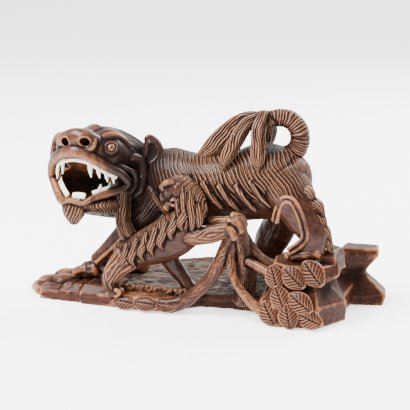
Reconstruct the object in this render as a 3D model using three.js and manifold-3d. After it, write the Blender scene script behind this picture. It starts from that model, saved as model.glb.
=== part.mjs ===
import * as THREE from "three";
import { mergeVertices } from "three/addons/utils/BufferGeometryUtils.js";
import Module from "manifold-3d";

const wasm = await Module();
wasm.setup();

// Driving dimensions in millimetres
const CARVING_LENGTH = 253;
const EYE_RADIUS = 3.7;
const CUB_EYE_RADIUS = 1.4;
const TOOTH_THICKNESS = 2.0;
const GUM_DEPTH = 4.2;
const INLAY_CLEARANCE = 0.3;
const LEAF_THICKNESS = 4.5;
const FACET_BUDGET = 7600;

// Points of the figure are written at a length of 253 and follow the driving length
const SHARE = CARVING_LENGTH / 253;
const UP = new THREE.Vector3(0, 0, 1);
const FORWARD = new THREE.Vector3(1, 0, 0);
const AWAY = new THREE.Vector3(0, 1, 0);

// The head's own frame: first axis out of the nose, second to its left cheek, third to the crown
const HEAD_TURN = THREE.MathUtils.degToRad(258);
const HEAD_LIFT = THREE.MathUtils.degToRad(18);
const HEAD_TILT = THREE.MathUtils.degToRad(5);
const HEAD = new THREE.Matrix4()
  .makeTranslation(-70.8 * SHARE, -18 * SHARE, 94.6 * SHARE)
  .multiply(new THREE.Matrix4().makeRotationZ(HEAD_TURN))
  .multiply(new THREE.Matrix4().makeRotationY(-HEAD_LIFT))
  .multiply(new THREE.Matrix4().makeRotationX(HEAD_TILT));

// A point of the figure at the driving length
function at(x, y, z) {
  return new THREE.Vector3(x, y, z).multiplyScalar(SHARE);
}

// A closed skin over rings of equal count, ending in a fan at each tip
function skin(rings, startTip, endTip) {
  const count = rings[0].length;
  const centre = (ring) =>
    ring.reduce((sum, p) => sum.add(p), new THREE.Vector3()).divideScalar(count);
  const points = rings.flat();
  const faces = [];
  const last = (rings.length - 1) * count;
  const tips = points.length;
  for (let j = 0; j < count; j++) {
    const k = (j + 1) % count;
    for (let i = 0; i < last; i += count) {
      faces.push(i + j, i + k, i + count + k);
      faces.push(i + j, i + count + k, i + count + j);
    }
    faces.push(tips, k, j);
    faces.push(tips + 1, last + j, last + k);
  }
  points.push(startTip ?? centre(rings[0]), endTip ?? centre(rings[rings.length - 1]));
  const geometry = new THREE.BufferGeometry().setFromPoints(points);
  return geometry.setIndex(faces);
}

// A manifold solid from a closed geometry, turned to face outwards
function solid(geometry) {
  const bare = new THREE.BufferGeometry();
  bare.setAttribute("position", geometry.getAttribute("position"));
  bare.setIndex(geometry.index);
  const merged = mergeVertices(bare, 1e-4);
  const vertProperties = new Float32Array(merged.getAttribute("position").array);
  const triVerts = new Uint32Array(merged.index.array);
  const body = new wasm.Manifold(new wasm.Mesh({ numProp: 3, vertProperties, triVerts }));
  if (body.volume() > 0) return body;
  return new wasm.Manifold(
    new wasm.Mesh({ numProp: 3, vertProperties, triVerts: triVerts.reverse() }),
  );
}

function joined(solids) {
  return solids.reduce((sum, piece) => sum.add(piece));
}

// Merges neighbouring vertices where the surface moves least, until the facet budget is met
function thinned(body, budget) {
  const mesh = body.getMesh();
  const points = [];
  for (let i = 0; i < mesh.vertProperties.length; i += mesh.numProp)
    points.push(new THREE.Vector3().fromArray(mesh.vertProperties, i));
  const faces = [];
  for (let i = 0; i < mesh.triVerts.length; i += 3) faces.push([...mesh.triVerts.slice(i, i + 3)]);
  const around = points.map(() => new Set());
  faces.forEach((face, i) => face.forEach((v) => around[v].add(i)));
  const neighbours = (v) => {
    const near = new Set([...around[v]].flatMap((f) => faces[f]));
    near.delete(v);
    return near;
  };
  const areaNormal = ([a, b, c]) => {
    const side = new THREE.Vector3().subVectors(points[b], points[a]);
    return side.cross(new THREE.Vector3().subVectors(points[c], points[a]));
  };
  const moveCost = (v, w) => {
    const step = new THREE.Vector3().subVectors(points[w], points[v]);
    let cost = step.length() * 0.02;
    for (const f of around[v]) {
      if (faces[f].includes(w)) continue;
      const before = areaNormal(faces[f]);
      const after = areaNormal(faces[f].map((k) => (k === v ? w : k)));
      const sizes = before.length() * after.length();
      if (after.length() < 1e-3 || before.dot(after) < 0.5 * sizes) return Infinity;
      cost = Math.max(cost, Math.abs(step.dot(before)) / before.length());
    }
    return cost;
  };
  let left = faces.length;
  for (let limit = 0.04; left > budget && limit < 2; limit *= 1.25)
    for (let v = 0; v < points.length && left > budget; v++) {
      const near = neighbours(v);
      let best = limit;
      let target = -1;
      for (const w of near) {
        const cost = moveCost(v, w);
        if (cost >= best) continue;
        const shared = [...neighbours(w)].filter((k) => near.has(k));
        if (shared.length !== 2 || near.size < 4) continue;
        best = cost;
        target = w;
      }
      if (target < 0) continue;
      for (const f of around[v]) {
        if (faces[f].includes(target)) {
          for (const k of faces[f]) if (k !== v) around[k].delete(f);
          faces[f] = null;
          left -= 1;
          continue;
        }
        faces[f] = faces[f].map((k) => (k === v ? target : k));
        around[target].add(f);
      }
      around[v].clear();
    }
  const geometry = new THREE.BufferGeometry().setFromPoints(points);
  geometry.setIndex(faces.filter((face) => face).flat());
  return solid(geometry);
}

// A limb through stations of x, y, z, half width and half height, domed at both ends
function limbSkin(stations, options = {}) {
  const { sides = 6, steps = 1, up = UP, flute = 0, rib = 0, dome = 0.6 } = options;
  const curve = new THREE.CatmullRomCurve3(
    stations.map(([x, y, z]) => at(x, y, z)),
    false,
    "centripetal",
  );
  const size = new THREE.CatmullRomCurve3(
    stations.map(([, , , w, h]) => at(w, h ?? w, 0)),
    false,
    "centripetal",
  );
  const total = (stations.length - 1) * steps;
  const rings = [];
  let above = up.clone();
  const ring = (centre, along, half, scale, ribbed) => {
    above = above.clone().addScaledVector(along, -above.dot(along)).normalize();
    const side = new THREE.Vector3().crossVectors(along, above);
    return Array.from({ length: sides }, (_, j) => {
      const angle = (j / sides) * Math.PI * 2;
      const swell = scale * (1 + (j % 2 ? flute : -flute) + ribbed);
      return centre
        .clone()
        .addScaledVector(side, half.x * swell * Math.cos(angle))
        .addScaledVector(above, half.y * swell * Math.sin(angle));
    });
  };
  for (let i = 0; i <= total; i++) {
    const centre = curve.getPoint(i / total);
    const along = curve.getTangent(i / total);
    const half = size.getPoint(i / total);
    const reach = dome * Math.min(half.x, half.y);
    const shoulder = (sign) => centre.clone().addScaledVector(along, sign * 0.62 * reach);
    if (i === 0) rings.push(ring(shoulder(-1), along, half, 0.7, 0));
    rings.push(ring(centre, along, half, 1, i % 2 ? rib : -rib));
    if (i === total) rings.push(ring(shoulder(1), along, half, 0.7, 0));
  }
  const tip = (t, sign) => {
    const half = size.getPoint(t);
    return curve
      .getPoint(t)
      .addScaledVector(curve.getTangent(t), sign * dome * Math.min(half.x, half.y));
  };
  return skin(rings, tip(0, -1), tip(1, 1));
}

function limb(stations, options) {
  return solid(limbSkin(stations, options));
}

// The same limb given in the head's own frame
function headLimb(stations, options) {
  return solid(limbSkin(stations, options).applyMatrix4(HEAD));
}

function blob(centre, radii, detail = 1) {
  const geometry = new THREE.IcosahedronGeometry(1, detail);
  geometry.scale(...radii.map((r) => r * SHARE));
  return geometry.translate(...at(...centre).toArray());
}

// A stone built up from level outlines, each a height followed by its corners
function stone(levels) {
  return solid(skin(levels.map(([z, ...corners]) => corners.map(([x, y]) => at(x, y, z)))));
}

// A lock of hair: a fluted taper that ends in a point
function lock(stations, options = {}) {
  return limb(stations, { sides: 5, dome: 1.2, ...options });
}

// A carved leaf: a domed blade with a sunk midrib and slanting side veins
function leaf(centre, lengthwise, facing, length, width) {
  const rise = width * 0.2;
  const rings = [0.05, 0.35, 0.65, 0.95].map((t, i) => {
    const half = (width / 2) * Math.sin(Math.PI * Math.min(1, 0.08 + t * 0.86)) ** 0.75;
    const top = [-1, -0.55, 0, 0.55, 1].map((v) => {
      const vein = v && Math.abs(v) < 1 && i % 2 ? -0.16 : 0;
      const sweep = (1 - Math.abs(v)) * 0.08;
      const z = rise * (1 - v * v + vein * 2 - (v ? 0 : 0.4));
      return at(length * (t - 0.5 - sweep), half * v, z);
    });
    return [...top, at(length * (t - 0.5), 0, -LEAF_THICKNESS)];
  });
  const z = new THREE.Vector3(...facing).normalize();
  const x = new THREE.Vector3(...lengthwise).addScaledVector(
    z,
    -new THREE.Vector3(...lengthwise).dot(z),
  );
  x.normalize();
  const frame = new THREE.Matrix4().makeBasis(x, new THREE.Vector3().crossVectors(z, x), z);
  return solid(skin(rings).applyMatrix4(frame.setPosition(at(...centre))));
}

// The lion's trunk with its coat in shallow ribs, and the locks along the flank
function trunk() {
  const coat = limb(
    [
      [-60, 3, 94, 10, 13],
      [-48, 6, 90, 11.5, 17],
      [-40, 5, 87, 13.5, 20.5],
      [-30, 1, 84, 18.5, 24.5],
      [-14, -1, 81.5, 21.5, 24.5],
      [10, -2, 82.5, 21, 23],
      [30, -2, 85.5, 21, 24.8],
      [47, -2, 90, 21.5, 26],
      [59, -1, 92, 18.5, 21],
      [66.5, -1, 92, 13, 15],
    ],
    { sides: 12, steps: 2, rib: 0.012, dome: 0.7 },
  );
  const chest = limb(
    [
      [-44, -3, 76, 16, 15],
      [-42, -4, 63, 14, 13],
      [-37, -4, 55, 10, 9],
    ],
    { sides: 9, up: FORWARD },
  );
  const flank = [
    [-22, 64],
    [-10, 68],
    [2, 77],
    [14, 74],
    [26, 73],
    [38, 74],
    [48, 78],
  ].map(([x, low]) =>
    lock([
      [x - 7, -21.5, low + 14, 4, 2],
      [x, -23, low + 5, 3.4, 2],
      [x + 6, -22, low - 2, 1.1, 1.1],
    ]),
  );
  const farFlank = [-18, 2, 20, 36].map((x) =>
    lock([
      [x - 7, 15, 78, 4, 3],
      [x, 17.5, 70, 3.6, 3],
      [x + 6, 15.5, 63, 1.2, 1.2],
    ]),
  );
  return joined([coat, chest, ...flank, ...farFlank]);
}

// The knotted tail: a ringed hoop off the rump, a knot, and locks falling forward
function tail() {
  const hoop = limb(
    [
      [55, -1, 105, 8, 8],
      [63.5, 0, 109, 7.4, 7.4],
      [68, 0, 117, 6.9, 6.9],
      [67, -1, 126, 6.7, 6.7],
      [61.5, -2, 132, 6.5, 6.5],
      [54, -3, 133.3, 6.2, 6.2],
      [47, -4, 131.5, 5.8, 5.8],
    ],
    { steps: 2, rib: 0.03 },
  );
  const knot = limb(
    [
      [50, -7, 129, 5, 5],
      [46, -5, 132, 6, 6],
      [41, -3, 132.5, 6, 5.5],
    ],
    { sides: 6 },
  );
  const locks = [
    [
      [43, -3, 133, 4, 4],
      [30, -3, 130.5, 6, 4.5],
      [17, -3, 120.5, 7.5, 5],
      [4, -3, 108, 6.5, 4.5],
      [-4, -3, 103, 2.5, 2.5],
    ],
    [
      [41, -7, 133, 4, 4],
      [33, -9, 128.5, 5, 4.5],
      [26, -14, 116, 5.2, 5],
      [21.5, -18, 106, 4.5, 4],
      [20, -20, 100, 2, 2],
    ],
    [
      [45, -8, 133.5, 4.5, 4.5],
      [43.5, -14, 127, 5, 5],
      [44.5, -20, 115, 5, 5],
      [45.5, -23, 106, 4.5, 4],
      [46, -24, 101.5, 1.8, 1.8],
    ],
    [
      [44, 1, 132, 4, 4],
      [44.5, 7, 124, 5, 4.5],
      [39, 13, 112, 5, 4.5],
      [36, 15, 103, 2, 2],
    ],
  ].map((stations) => lock(stations, { sides: 8, flute: 0.09, up: AWAY }));
  return joined([hoop, knot, ...locks]);
}

// The near hind leg with the doubled ridge over its thigh and the tufts behind the shin
function nearHindLeg() {
  const leg = limb(
    [
      [58, -10, 92, 15, 18],
      [67, -14, 82, 14, 16],
      [76, -18, 69, 10.5, 12],
      [84, -20.5, 58, 8, 9.5],
      [84, -21.5, 49, 7, 8.5],
    ],
    { sides: 9, up: FORWARD },
  );
  const foot = limb(
    [
      [88, -21, 47, 7.5, 5],
      [79, -22, 45.5, 7.5, 5],
      [71, -22, 44, 6.5, 4],
    ],
    { sides: 6 },
  );
  const ridge = limb(
    [
      [56, -21, 66, 2, 2],
      [59, -24, 75, 2.2, 2],
      [64, -26.5, 83.5, 2.4, 2],
      [71.5, -28, 83.5, 2.4, 2],
      [77.5, -29, 76, 2.4, 2],
      [81, -29, 66, 2.2, 2],
      [82, -29, 58, 2.2, 2],
      [77, -29, 51, 2.2, 2],
      [70, -28, 46, 2, 2],
    ],
    { sides: 5, up: AWAY },
  );
  const tufts = [
    [84, 84],
    [90, 76],
    [92, 67],
    [95, 59],
    [96.5, 51.5],
  ].map(([x, z]) =>
    lock([
      [x - 10, -17, z + 4, 4, 4],
      [x - 4, -18, z + 2, 4.5, 4.2],
      [x - 0.5, -18.5, z - 3, 2.2, 2.2],
    ]),
  );
  const toes = [-25.5, -18].map((y) =>
    limb(
      [
        [73, y, 45, 2.6, 3],
        [67.5, y, 43.5, 2.4, 2.4],
      ],
      { sides: 5 },
    ),
  );
  return joined([leg, foot, ridge, ...tufts, ...toes]);
}

function farHindLeg() {
  const leg = limb(
    [
      [55, 8, 86, 15, 18],
      [53, 13, 70, 13, 13.5],
      [50, 17, 56, 12, 12.5],
      [43, 19, 43, 10.5, 12],
      [39, 20, 33, 8, 10],
    ],
    { sides: 9, up: FORWARD },
  );
  const foot = limb(
    [
      [42, 20, 32, 7, 5.5],
      [30, 20, 30, 6.5, 4.5],
    ],
    { sides: 6 },
  );
  return leg.add(foot);
}

// The forelegs, with doubled grooves down the near one and curls at the wrist
function nearForeLeg() {
  const leg = limb(
    [
      [-32, -8, 76, 12, 14],
      [-42, -12, 62, 9, 11],
      [-54, -14, 48, 7, 8.5],
      [-67, -13.5, 34.5, 6, 7],
      [-77.5, -12.5, 24, 5.5, 6.5],
    ],
    { sides: 8, up: FORWARD },
  );
  const ridge = limb(
    [
      [-52, -21, 48, 1.6, 1.6],
      [-65, -19.5, 35, 1.6, 1.6],
      [-76, -18, 25, 1.6, 1.6],
    ],
    { sides: 5 },
  );
  const curls = [
    [-60, 31],
    [-65, 24],
    [-71, 18],
  ].map(([x, z]) =>
    lock([
      [x - 4, -14, z + 4, 3, 3],
      [x + 2, -15, z + 1, 3, 3],
      [x + 5, -15, z - 3, 1.5, 1.5],
    ]),
  );
  const paw = limb(
    [
      [-78, -12, 19, 8.5, 6.5],
      [-86, -12.5, 17, 8, 6.5],
    ],
    { sides: 6 },
  );
  const toes = [-18, -12.5, -7].map((y) =>
    limb(
      [
        [-84, y, 19, 2.9, 3.5],
        [-91, y, 17, 2.8, 3.2],
        [-94, y, 13.5, 2, 2],
      ],
      { sides: 5 },
    ),
  );
  return joined([leg, ridge, ...curls, paw, ...toes]);
}

function farForeLeg() {
  const leg = limb(
    [
      [-34, 4, 76, 12, 14],
      [-40, 8, 58, 9, 10],
      [-46, 11, 40, 7.5, 8],
      [-54, 13, 24, 6.5, 7],
    ],
    { sides: 8, up: FORWARD },
  );
  const paw = limb(
    [
      [-52, 13, 18, 8, 6],
      [-64, 13, 15, 7.5, 5.5],
    ],
    { sides: 6 },
  );
  return leg.add(paw);
}

// Skull, muzzle, nose and brows in the head's own frame
function headMass() {
  const skull = headLimb(
    [
      [-34, 12, 4, 17, 16],
      [-20, 5, 6, 23, 20],
      [-6, 0, 7, 25, 22],
      [6, -4, 8, 26, 20],
      [14, -6, 9, 22, 14],
    ],
    { sides: 12 },
  );
  const muzzle = headLimb(
    [
      [4, -5, 8, 27, 13],
      [14, -6, 8.5, 23, 12],
      [23, -6, 9.5, 17, 10],
    ],
    { sides: 10 },
  );
  const nose = headLimb(
    [
      [20, -21, 13, 4.5, 4.5],
      [25.5, -13, 14.5, 6.5, 6.5],
      [27, -4, 15.5, 6.5, 7],
      [25, 3.5, 15, 6.5, 6.5],
      [20, 8.5, 14.5, 4.5, 4.5],
    ],
    { sides: 8 },
  );
  const bridge = headLimb(
    [
      [24, -4.5, 18, 6, 4.5],
      [15, -5, 21, 6, 4],
      [6, -4, 24.5, 8, 5],
    ],
    { sides: 6 },
  );
  const nearBrow = headLimb(
    [
      [17, 6, 14, 3, 3],
      [14, 11, 17.5, 4, 3.6],
      [7, 15.5, 19, 4.5, 4],
      [1, 19, 15, 4, 3.6],
      [0, 20.5, 9, 2.6, 2.6],
    ],
    { sides: 6 },
  );
  const farBrow = headLimb(
    [
      [18, -23, 18, 3, 3],
      [15, -27.5, 18.5, 4, 3.5],
      [13, -31, 14, 4, 3.5],
      [14, -31.5, 7, 3.4, 3],
      [16, -29.5, 1, 3, 3],
    ],
    { sides: 6 },
  );
  return joined([skull, muzzle, nose, bridge, nearBrow, farBrow]);
}

// The lips, the curling lid and the scroll over the cheek, with the far side in keeping
function lipsAndScrolls() {
  const upperLip = headLimb(
    [
      [12, -33.5, -9, 3, 3.4],
      [17, -30, -1, 3.2, 4],
      [23, -21, 4, 3.4, 4.6],
      [27.5, -11, 6, 3.6, 4.6],
      [28.5, -3, 6, 3.6, 4.6],
      [26, 4, 4.5, 3.4, 4.4],
      [20.5, 11, 0.5, 3, 4],
      [13.5, 16.5, -3, 2.8, 3.6],
      [6, 21, -5.8, 2.6, 3.2],
      [-0.5, 24, -10.5, 2.6, 3],
    ],
    { sides: 6 },
  );
  const lowerLip = headLimb(
    [
      [-1, 24, -11, 2.6, 2.8],
      [0.5, 21, -15.5, 2.4, 2.8],
      [8.5, 14, -20, 2.4, 2.8],
      [15, 7, -24.5, 2.4, 2.6],
      [19, 1.5, -29, 2.6, 2.4],
      [20.5, -6.5, -27.5, 2.6, 2.4],
      [19, -16.5, -28, 2.6, 2.6],
      [14.5, -25.5, -20.5, 2.6, 3],
      [12, -32.5, -11, 2.8, 3],
    ],
    { sides: 6 },
  );
  const outerLip = headLimb(
    [
      [13, 17, 1.5, 1.7, 1.7],
      [5, 21.5, -1.2, 1.9, 1.9],
      [-3, 25.5, -4, 2.1, 2.1],
      [-5.5, 26.5, -10, 2.2, 2.2],
      [-4.5, 24.5, -16, 2.1, 2.1],
      [0, 19.5, -20.5, 1.8, 1.8],
    ],
    { sides: 5 },
  );
  const scroll = headLimb(
    [
      [1, 19.5, 3.5, 2.8, 2.8],
      [-3.5, 23, 6.8, 4, 3.8],
      [-9.5, 25.5, 5, 4.6, 4.4],
      [-11.5, 27.5, -2, 4.5, 4.4],
      [-11, 28, -8.5, 4.3, 4.2],
      [-11, 26.5, -14.5, 4.3, 4],
      [-8.5, 22.5, -19.5, 3.2, 3.2],
    ],
    { sides: 6 },
  );
  const lid = headLimb(
    [
      [17, 7.5, 8.5, 1.6, 1.6],
      [15.5, 11, 4, 1.9, 1.9],
      [11.5, 15.5, 1.6, 2, 2],
      [5, 19, 1.2, 2, 2],
      [0, 21, 3.5, 1.8, 1.8],
    ],
    { sides: 5 },
  );
  const farScroll = headLimb(
    [
      [8, -34, 4, 3, 3],
      [1, -33, 6, 3.8, 3.6],
      [-6, -30, 3, 4, 3.8],
      [-9, -29, -5, 3.8, 3.8],
      [-8, -28, -13, 3.4, 3.4],
    ],
    { sides: 6 },
  );
  const pad = headLimb(
    [
      [14, 12, 0.5, 4, 4],
      [7, 17, -1, 4.4, 4],
      [-1, 20, -4, 4.4, 5],
    ],
    { sides: 6 },
  );
  return joined([pad, upperLip, lowerLip, outerLip, scroll, lid, farScroll]);
}

function lowerJaw() {
  const jaw = headLimb(
    [
      [-26, 8, -18, 15, 15],
      [-14, 4, -23, 19, 12],
      [-2, -1, -27, 21, 8],
      [9, -5, -29.5, 18, 5],
      [16, -7, -30, 12, 4],
    ],
    { sides: 9 },
  );
  const nearCheek = headLimb(
    [
      [-12, 17, -4, 9, 12],
      [-8, 18.5, -14, 8, 9],
      [-2, 15, -22, 7, 7],
    ],
    { sides: 6, up: FORWARD },
  );
  const farCheek = headLimb(
    [
      [2, -25, -2, 9, 10],
      [3, -26, -12, 8, 8],
      [6, -24, -22, 7, 6],
    ],
    { sides: 6, up: FORWARD },
  );
  const beard = headLimb(
    [
      [18.5, -7, -28, 10, 3],
      [17.5, -7.5, -33, 9.5, 4.5],
      [16, -8, -38, 7.5, 4.5],
      [14.5, -8, -42, 3.5, 2.5],
    ],
    { sides: 10, flute: 0.07, up: FORWARD },
  );
  const throat = headLimb(
    [
      [-26, 6, -8, 17, 20],
      [-14, 1, -9, 21, 18],
      [-5, -2, -10, 22.5, 17],
      [2, -3, -11, 22, 15],
    ],
    { sides: 10 },
  );
  return joined([jaw, throat, nearCheek, farCheek, beard]);
}

// An ear is a pointed leaf of wood with a scooped hollow
function ear(side, offset) {
  const place = ([a, b, c, w, h]) => [a + 5, side * (b + 3) + offset, c, w, h];
  const shell = headLimb(
    [
      [-22, 20, 2, 3.5, 4],
      [-24, 25, 6, 4.2, 7],
      [-25, 27.5, 12, 4.4, 8],
      [-24, 26.5, 18.5, 3.8, 6.6],
      [-22, 24, 23.8, 2.4, 3.2],
    ].map(place),
    { sides: 8 },
  );
  const hollow = headLimb(
    [
      [-19.5, 27, 6, 1.8, 2.6],
      [-20.5, 29.5, 12, 2.6, 4.6],
      [-20, 28, 18, 2, 3.2],
    ].map(place),
    { sides: 5 },
  );
  return shell.subtract(hollow);
}

function mouthHollow() {
  return headLimb(
    [
      [42, -6, -10, 21, 11],
      [27, -6, -11, 22, 12.2],
      [15, -6, -12, 22.5, 12.4],
      [5, -4, -12.5, 19, 10.5],
      [-4, -2, -12.5, 13, 6.5],
    ],
    { sides: 10 },
  );
}

function nostrils() {
  return [-11, 5.8].map((b) =>
    headLimb(
      [
        [34, b, 11.2, 3.3, 2.7],
        [25, b * 0.8, 13, 2.6, 2.2],
      ],
      { sides: 6 },
    ),
  );
}

// Eye placing in the head's own frame: centre and outward direction
const NEAR_EYE = [15, 17.2, 10.2];
const FAR_EYE = [15.5, -25.5, 11];
const CUB_EYES = [
  [-15.2, -41.2, 86.5],
  [-17.6, -29.5, 88],
];

function eyeBall(centre, radius, frame) {
  const geometry = new THREE.IcosahedronGeometry(radius, 1);
  geometry.translate(...at(...centre).toArray());
  return solid(frame ? geometry.applyMatrix4(frame) : geometry);
}

function socketRing(centre, outward) {
  const facing = new THREE.Vector3(...outward).normalize();
  const turn = new THREE.Quaternion().setFromUnitVectors(UP, facing);
  const ring = new THREE.TorusGeometry(EYE_RADIUS + 0.9, 1.5, 5, 11);
  ring.applyQuaternion(turn);
  ring.translate(...at(...centre).addScaledVector(facing, 1.6).toArray());
  return solid(ring.applyMatrix4(HEAD));
}

// A run of teeth: a gum band along a path with a pointed tooth at each listed place
function toothRun(path, teeth, clearance = 0) {
  const half = TOOTH_THICKNESS / 2 + clearance;
  const band = headLimb(
    path.map(([a, b, c, h = GUM_DEPTH / 2]) => [a, b, c, half, h + clearance]),
    { sides: 4, dome: 0.3 },
  );
  const points = teeth.map(([a, b, c, da, db, dc, width]) =>
    headLimb(
      [
        [a, b, c, width * 0.42 + clearance, width * 0.5 + clearance],
        [a + da, b + db, c + dc, 0.35 + clearance, 0.4 + clearance],
      ],
      { sides: 4, up: FORWARD, dome: 0.5 },
    ),
  );
  return joined([band, ...points]);
}

function upperTeeth(clearance) {
  return toothRun(
    [
      [14, -27.5, -7],
      [18.5, -24, -2.5],
      [22.5, -17, 0.2],
      [24.5, -9, 1.2],
      [25, -2, 1],
      [22.5, 4.5, -0.3],
      [18.5, 9.5, -3],
      [12.5, 14, -5.8],
      [6, 17.8, -8],
    ],
    [
      [17.5, -24.5, -4, -1, -0.5, -7.5, 3],
      [21.5, -17.5, -1, -0.4, 0.2, -7.5, 3],
      [21.5, 5.5, -1.5, -1, 1.4, -9.2, 4.4],
      [17.5, 10, -4, -0.6, 1.6, -6.6, 4],
      [12.5, 13.6, -7, -0.6, 1.2, -5.4, 3.6],
      [8, 16.4, -8.4, -0.6, 0.6, -4.4, 3],
    ],
    clearance,
  );
}

function lowerNearTeeth(clearance) {
  return toothRun(
    [
      [13.5, 4.6, -21.2],
      [8.5, 10.4, -17.8],
      [4, 15.2, -14.6],
      [1.5, 17.6, -12.4],
    ],
    [
      [10.5, 8, -18.5, 0.4, 0.6, 4.4, 3.6],
      [6, 13, -15.4, 0.4, 0.8, 4.2, 3.4],
      [2.6, 16.8, -12.8, 0.2, 0.4, 3.8, 2.6],
    ],
    clearance,
  );
}

function lowerFarTeeth(clearance) {
  return toothRun(
    [
      [17, -14, -23.4],
      [15.2, -19.5, -18.5],
      [13.6, -24.6, -12.6],
    ],
    [[14, -23.6, -13.4, 0.6, 0.8, 3.4, 2.4]],
    clearance,
  );
}

function lowerFrontTeeth(clearance) {
  return toothRun(
    [
      [18.2, -8.4, -23.6, 2.4],
      [18.8, -3, -23.4, 2.4],
      [17.8, 1.4, -23.8, 2.2],
    ],
    [],
    clearance,
  );
}

// The cub's trunk, curled head and mane
function cubBody() {
  const body = limb(
    [
      [-49, -29, 35, 11, 11],
      [-37, -30, 40, 12, 12],
      [-24, -31.5, 46, 12, 14],
      [-11, -32.5, 53, 12, 15],
      [-1, -33, 61, 11, 14],
    ],
    { sides: 10, steps: 2 },
  );
  const head = limb(
    [
      [-13, -34, 84.5, 8.5, 8],
      [-7, -33, 85, 10.5, 10],
      [0, -32.5, 80, 10.5, 10.5],
      [3.5, -32, 72, 9.5, 9.5],
      [4, -32, 65, 7, 7.5],
    ],
    { sides: 9 },
  );
  const brow = limb(
    [
      [-17, -39.5, 87.5, 1.9, 1.9],
      [-13.5, -40.5, 90.5, 2.2, 2.2],
      [-9, -40, 91, 2.2, 2.2],
      [-5.5, -39.5, 88.5, 1.7, 1.7],
    ],
    { sides: 6 },
  );
  const snout = limb(
    [
      [-14, -35, 81, 5.5, 4.5],
      [-17.5, -36, 80, 4, 3.4],
    ],
    { sides: 6 },
  );
  const chin = limb(
    [
      [-12, -36, 77, 4.5, 4],
      [-15, -37, 73, 2.6, 2.6],
    ],
    { sides: 6 },
  );
  const earLoop = limb(
    [
      [-9.5, -42.5, 80, 1.4, 1.4],
      [-6.5, -43, 81.5, 1.7, 1.7],
      [-4.2, -42.5, 78.5, 1.7, 1.7],
      [-6, -42, 75.5, 1.6, 1.6],
      [-9, -41.5, 75, 1.3, 1.3],
    ],
    { sides: 5 },
  );
  const crest = limb(
    [
      [-11, -29, 92, 3, 2.6],
      [-4, -28, 91, 3.4, 3],
      [3, -28, 86, 3.4, 3],
      [7, -29, 79, 2.6, 2.6],
    ],
    { sides: 6 },
  );
  return joined([body, head, brow, snout, chin, earLoop, crest]);
}

// Wavy locks that hang from the cub's back over its flank
function cubLocks() {
  return Array.from({ length: 7 }, (_, i) => {
    const x = -44 + i * 7.4;
    const top = 44 + i * 4.6 + Math.max(0, i - 4) * 2.4;
    const out = -41.5 - Math.min(i, 4) * 0.7;
    return lock([
      [x + 1, out + 3, top, 2.6, 2.4],
      [x + 0.5, out, top - 6, 3, 2.6],
      [x - 2, out - 0.5, top - 12, 2.6, 2.4],
      [x - 0.5, out + 1.5, top - 17.5, 1, 1],
    ]);
  });
}

function cubLegs() {
  const nearHind = limb(
    [
      [-45, -36, 35, 8, 10],
      [-52, -38, 27, 6.5, 7.5],
      [-56, -38.5, 18, 5.5, 6.2],
      [-54, -39, 11, 5, 5.6],
    ],
    { sides: 8, up: FORWARD },
  );
  const nearPaw = limb(
    [
      [-56, -39, 11, 5, 4.4],
      [-48, -40, 10.5, 4.6, 4],
    ],
    { sides: 6 },
  );
  const claw = limb(
    [
      [-50, -43.5, 9, 1.6, 1.6],
      [-47, -44, 12, 1.7, 1.7],
      [-50, -44, 14, 1.5, 1.5],
    ],
    { sides: 5 },
  );
  const farHind = limb(
    [
      [-22, -24, 41, 8, 8],
      [-16, -22, 30, 6, 6],
      [-8, -21, 20, 5, 5],
      [-3, -22, 14, 5, 5],
      [3, -23, 12.5, 4.5, 4],
    ],
    { sides: 8, up: FORWARD },
  );
  const nearArm = limb(
    [
      [-4, -36, 56, 7.5, 8.5],
      [8, -38, 55.5, 6, 6.6],
      [19, -37.5, 57.5, 5.4, 6],
      [29, -36, 61, 5, 5.4],
    ],
    { sides: 8 },
  );
  const farArm = limb(
    [
      [0, -27, 64, 5, 5],
      [12, -26, 63.5, 4, 3.6],
      [26, -25.5, 64.5, 4, 3.6],
    ],
    { sides: 6 },
  );
  const fists = [
    [29, -38, 60],
    [32, -34, 64],
    [33, -29, 67],
  ].map(([x, y, z]) =>
    limb(
      [
        [x - 3, y, z + 1.5, 3, 3.4],
        [x + 3, y, z + 0.5, 3, 3.4],
        [x + 6, y, z - 4, 2.4, 2.4],
      ],
      { sides: 6 },
    ),
  );
  return joined([nearHind, nearPaw, claw, farHind, nearArm, farArm, ...fists]);
}

function cubTail() {
  return limb(
    [
      [-40, -29, 44, 6, 6],
      [-46, -29, 49, 6, 6],
      [-50, -28, 57, 5.8, 5.8],
      [-51, -27, 67, 5.8, 5.8],
      [-51, -26, 78, 5.8, 5.8],
    ],
    { sides: 9, flute: 0.06, up: FORWARD },
  );
}

// The ground of the base: low along the showing side and banked up behind
function ground() {
  const section = (x, near, far, zNear, zMid, zFar) => [
    at(x, near, 0),
    at(x, near - 0.01, zNear * 0.8),
    at(x, near + 2.5, zNear),
    at(x, near * 0.35 + far * 0.65, zMid),
    at(x, far - 2.5, zFar),
    at(x, far, zFar - 3),
    at(x, far, 0),
  ];
  return solid(
    skin([
      section(-129, -17, -8, 4, 4.5, 5),
      section(-119, -29, 2, 7, 8, 8),
      section(-100, -34, 18, 9.5, 11, 11),
      section(-76, -35, 32, 10, 12, 13),
      section(-50, -39, 40, 9, 12, 15),
      section(-30, -39, 44, 8, 12, 18),
      section(-12, -34, 47, 7.5, 14, 20),
      section(4, -19, 49, 9, 16, 21),
      section(24, -17, 50, 10, 21, 24),
      section(46, -19, 50, 13, 27, 28),
      section(66, -22, 49, 22, 29, 30),
      section(88, -12, 44, 24, 26, 26),
      section(101, -2, 36, 12, 14, 16),
    ]),
  );
}

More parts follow.
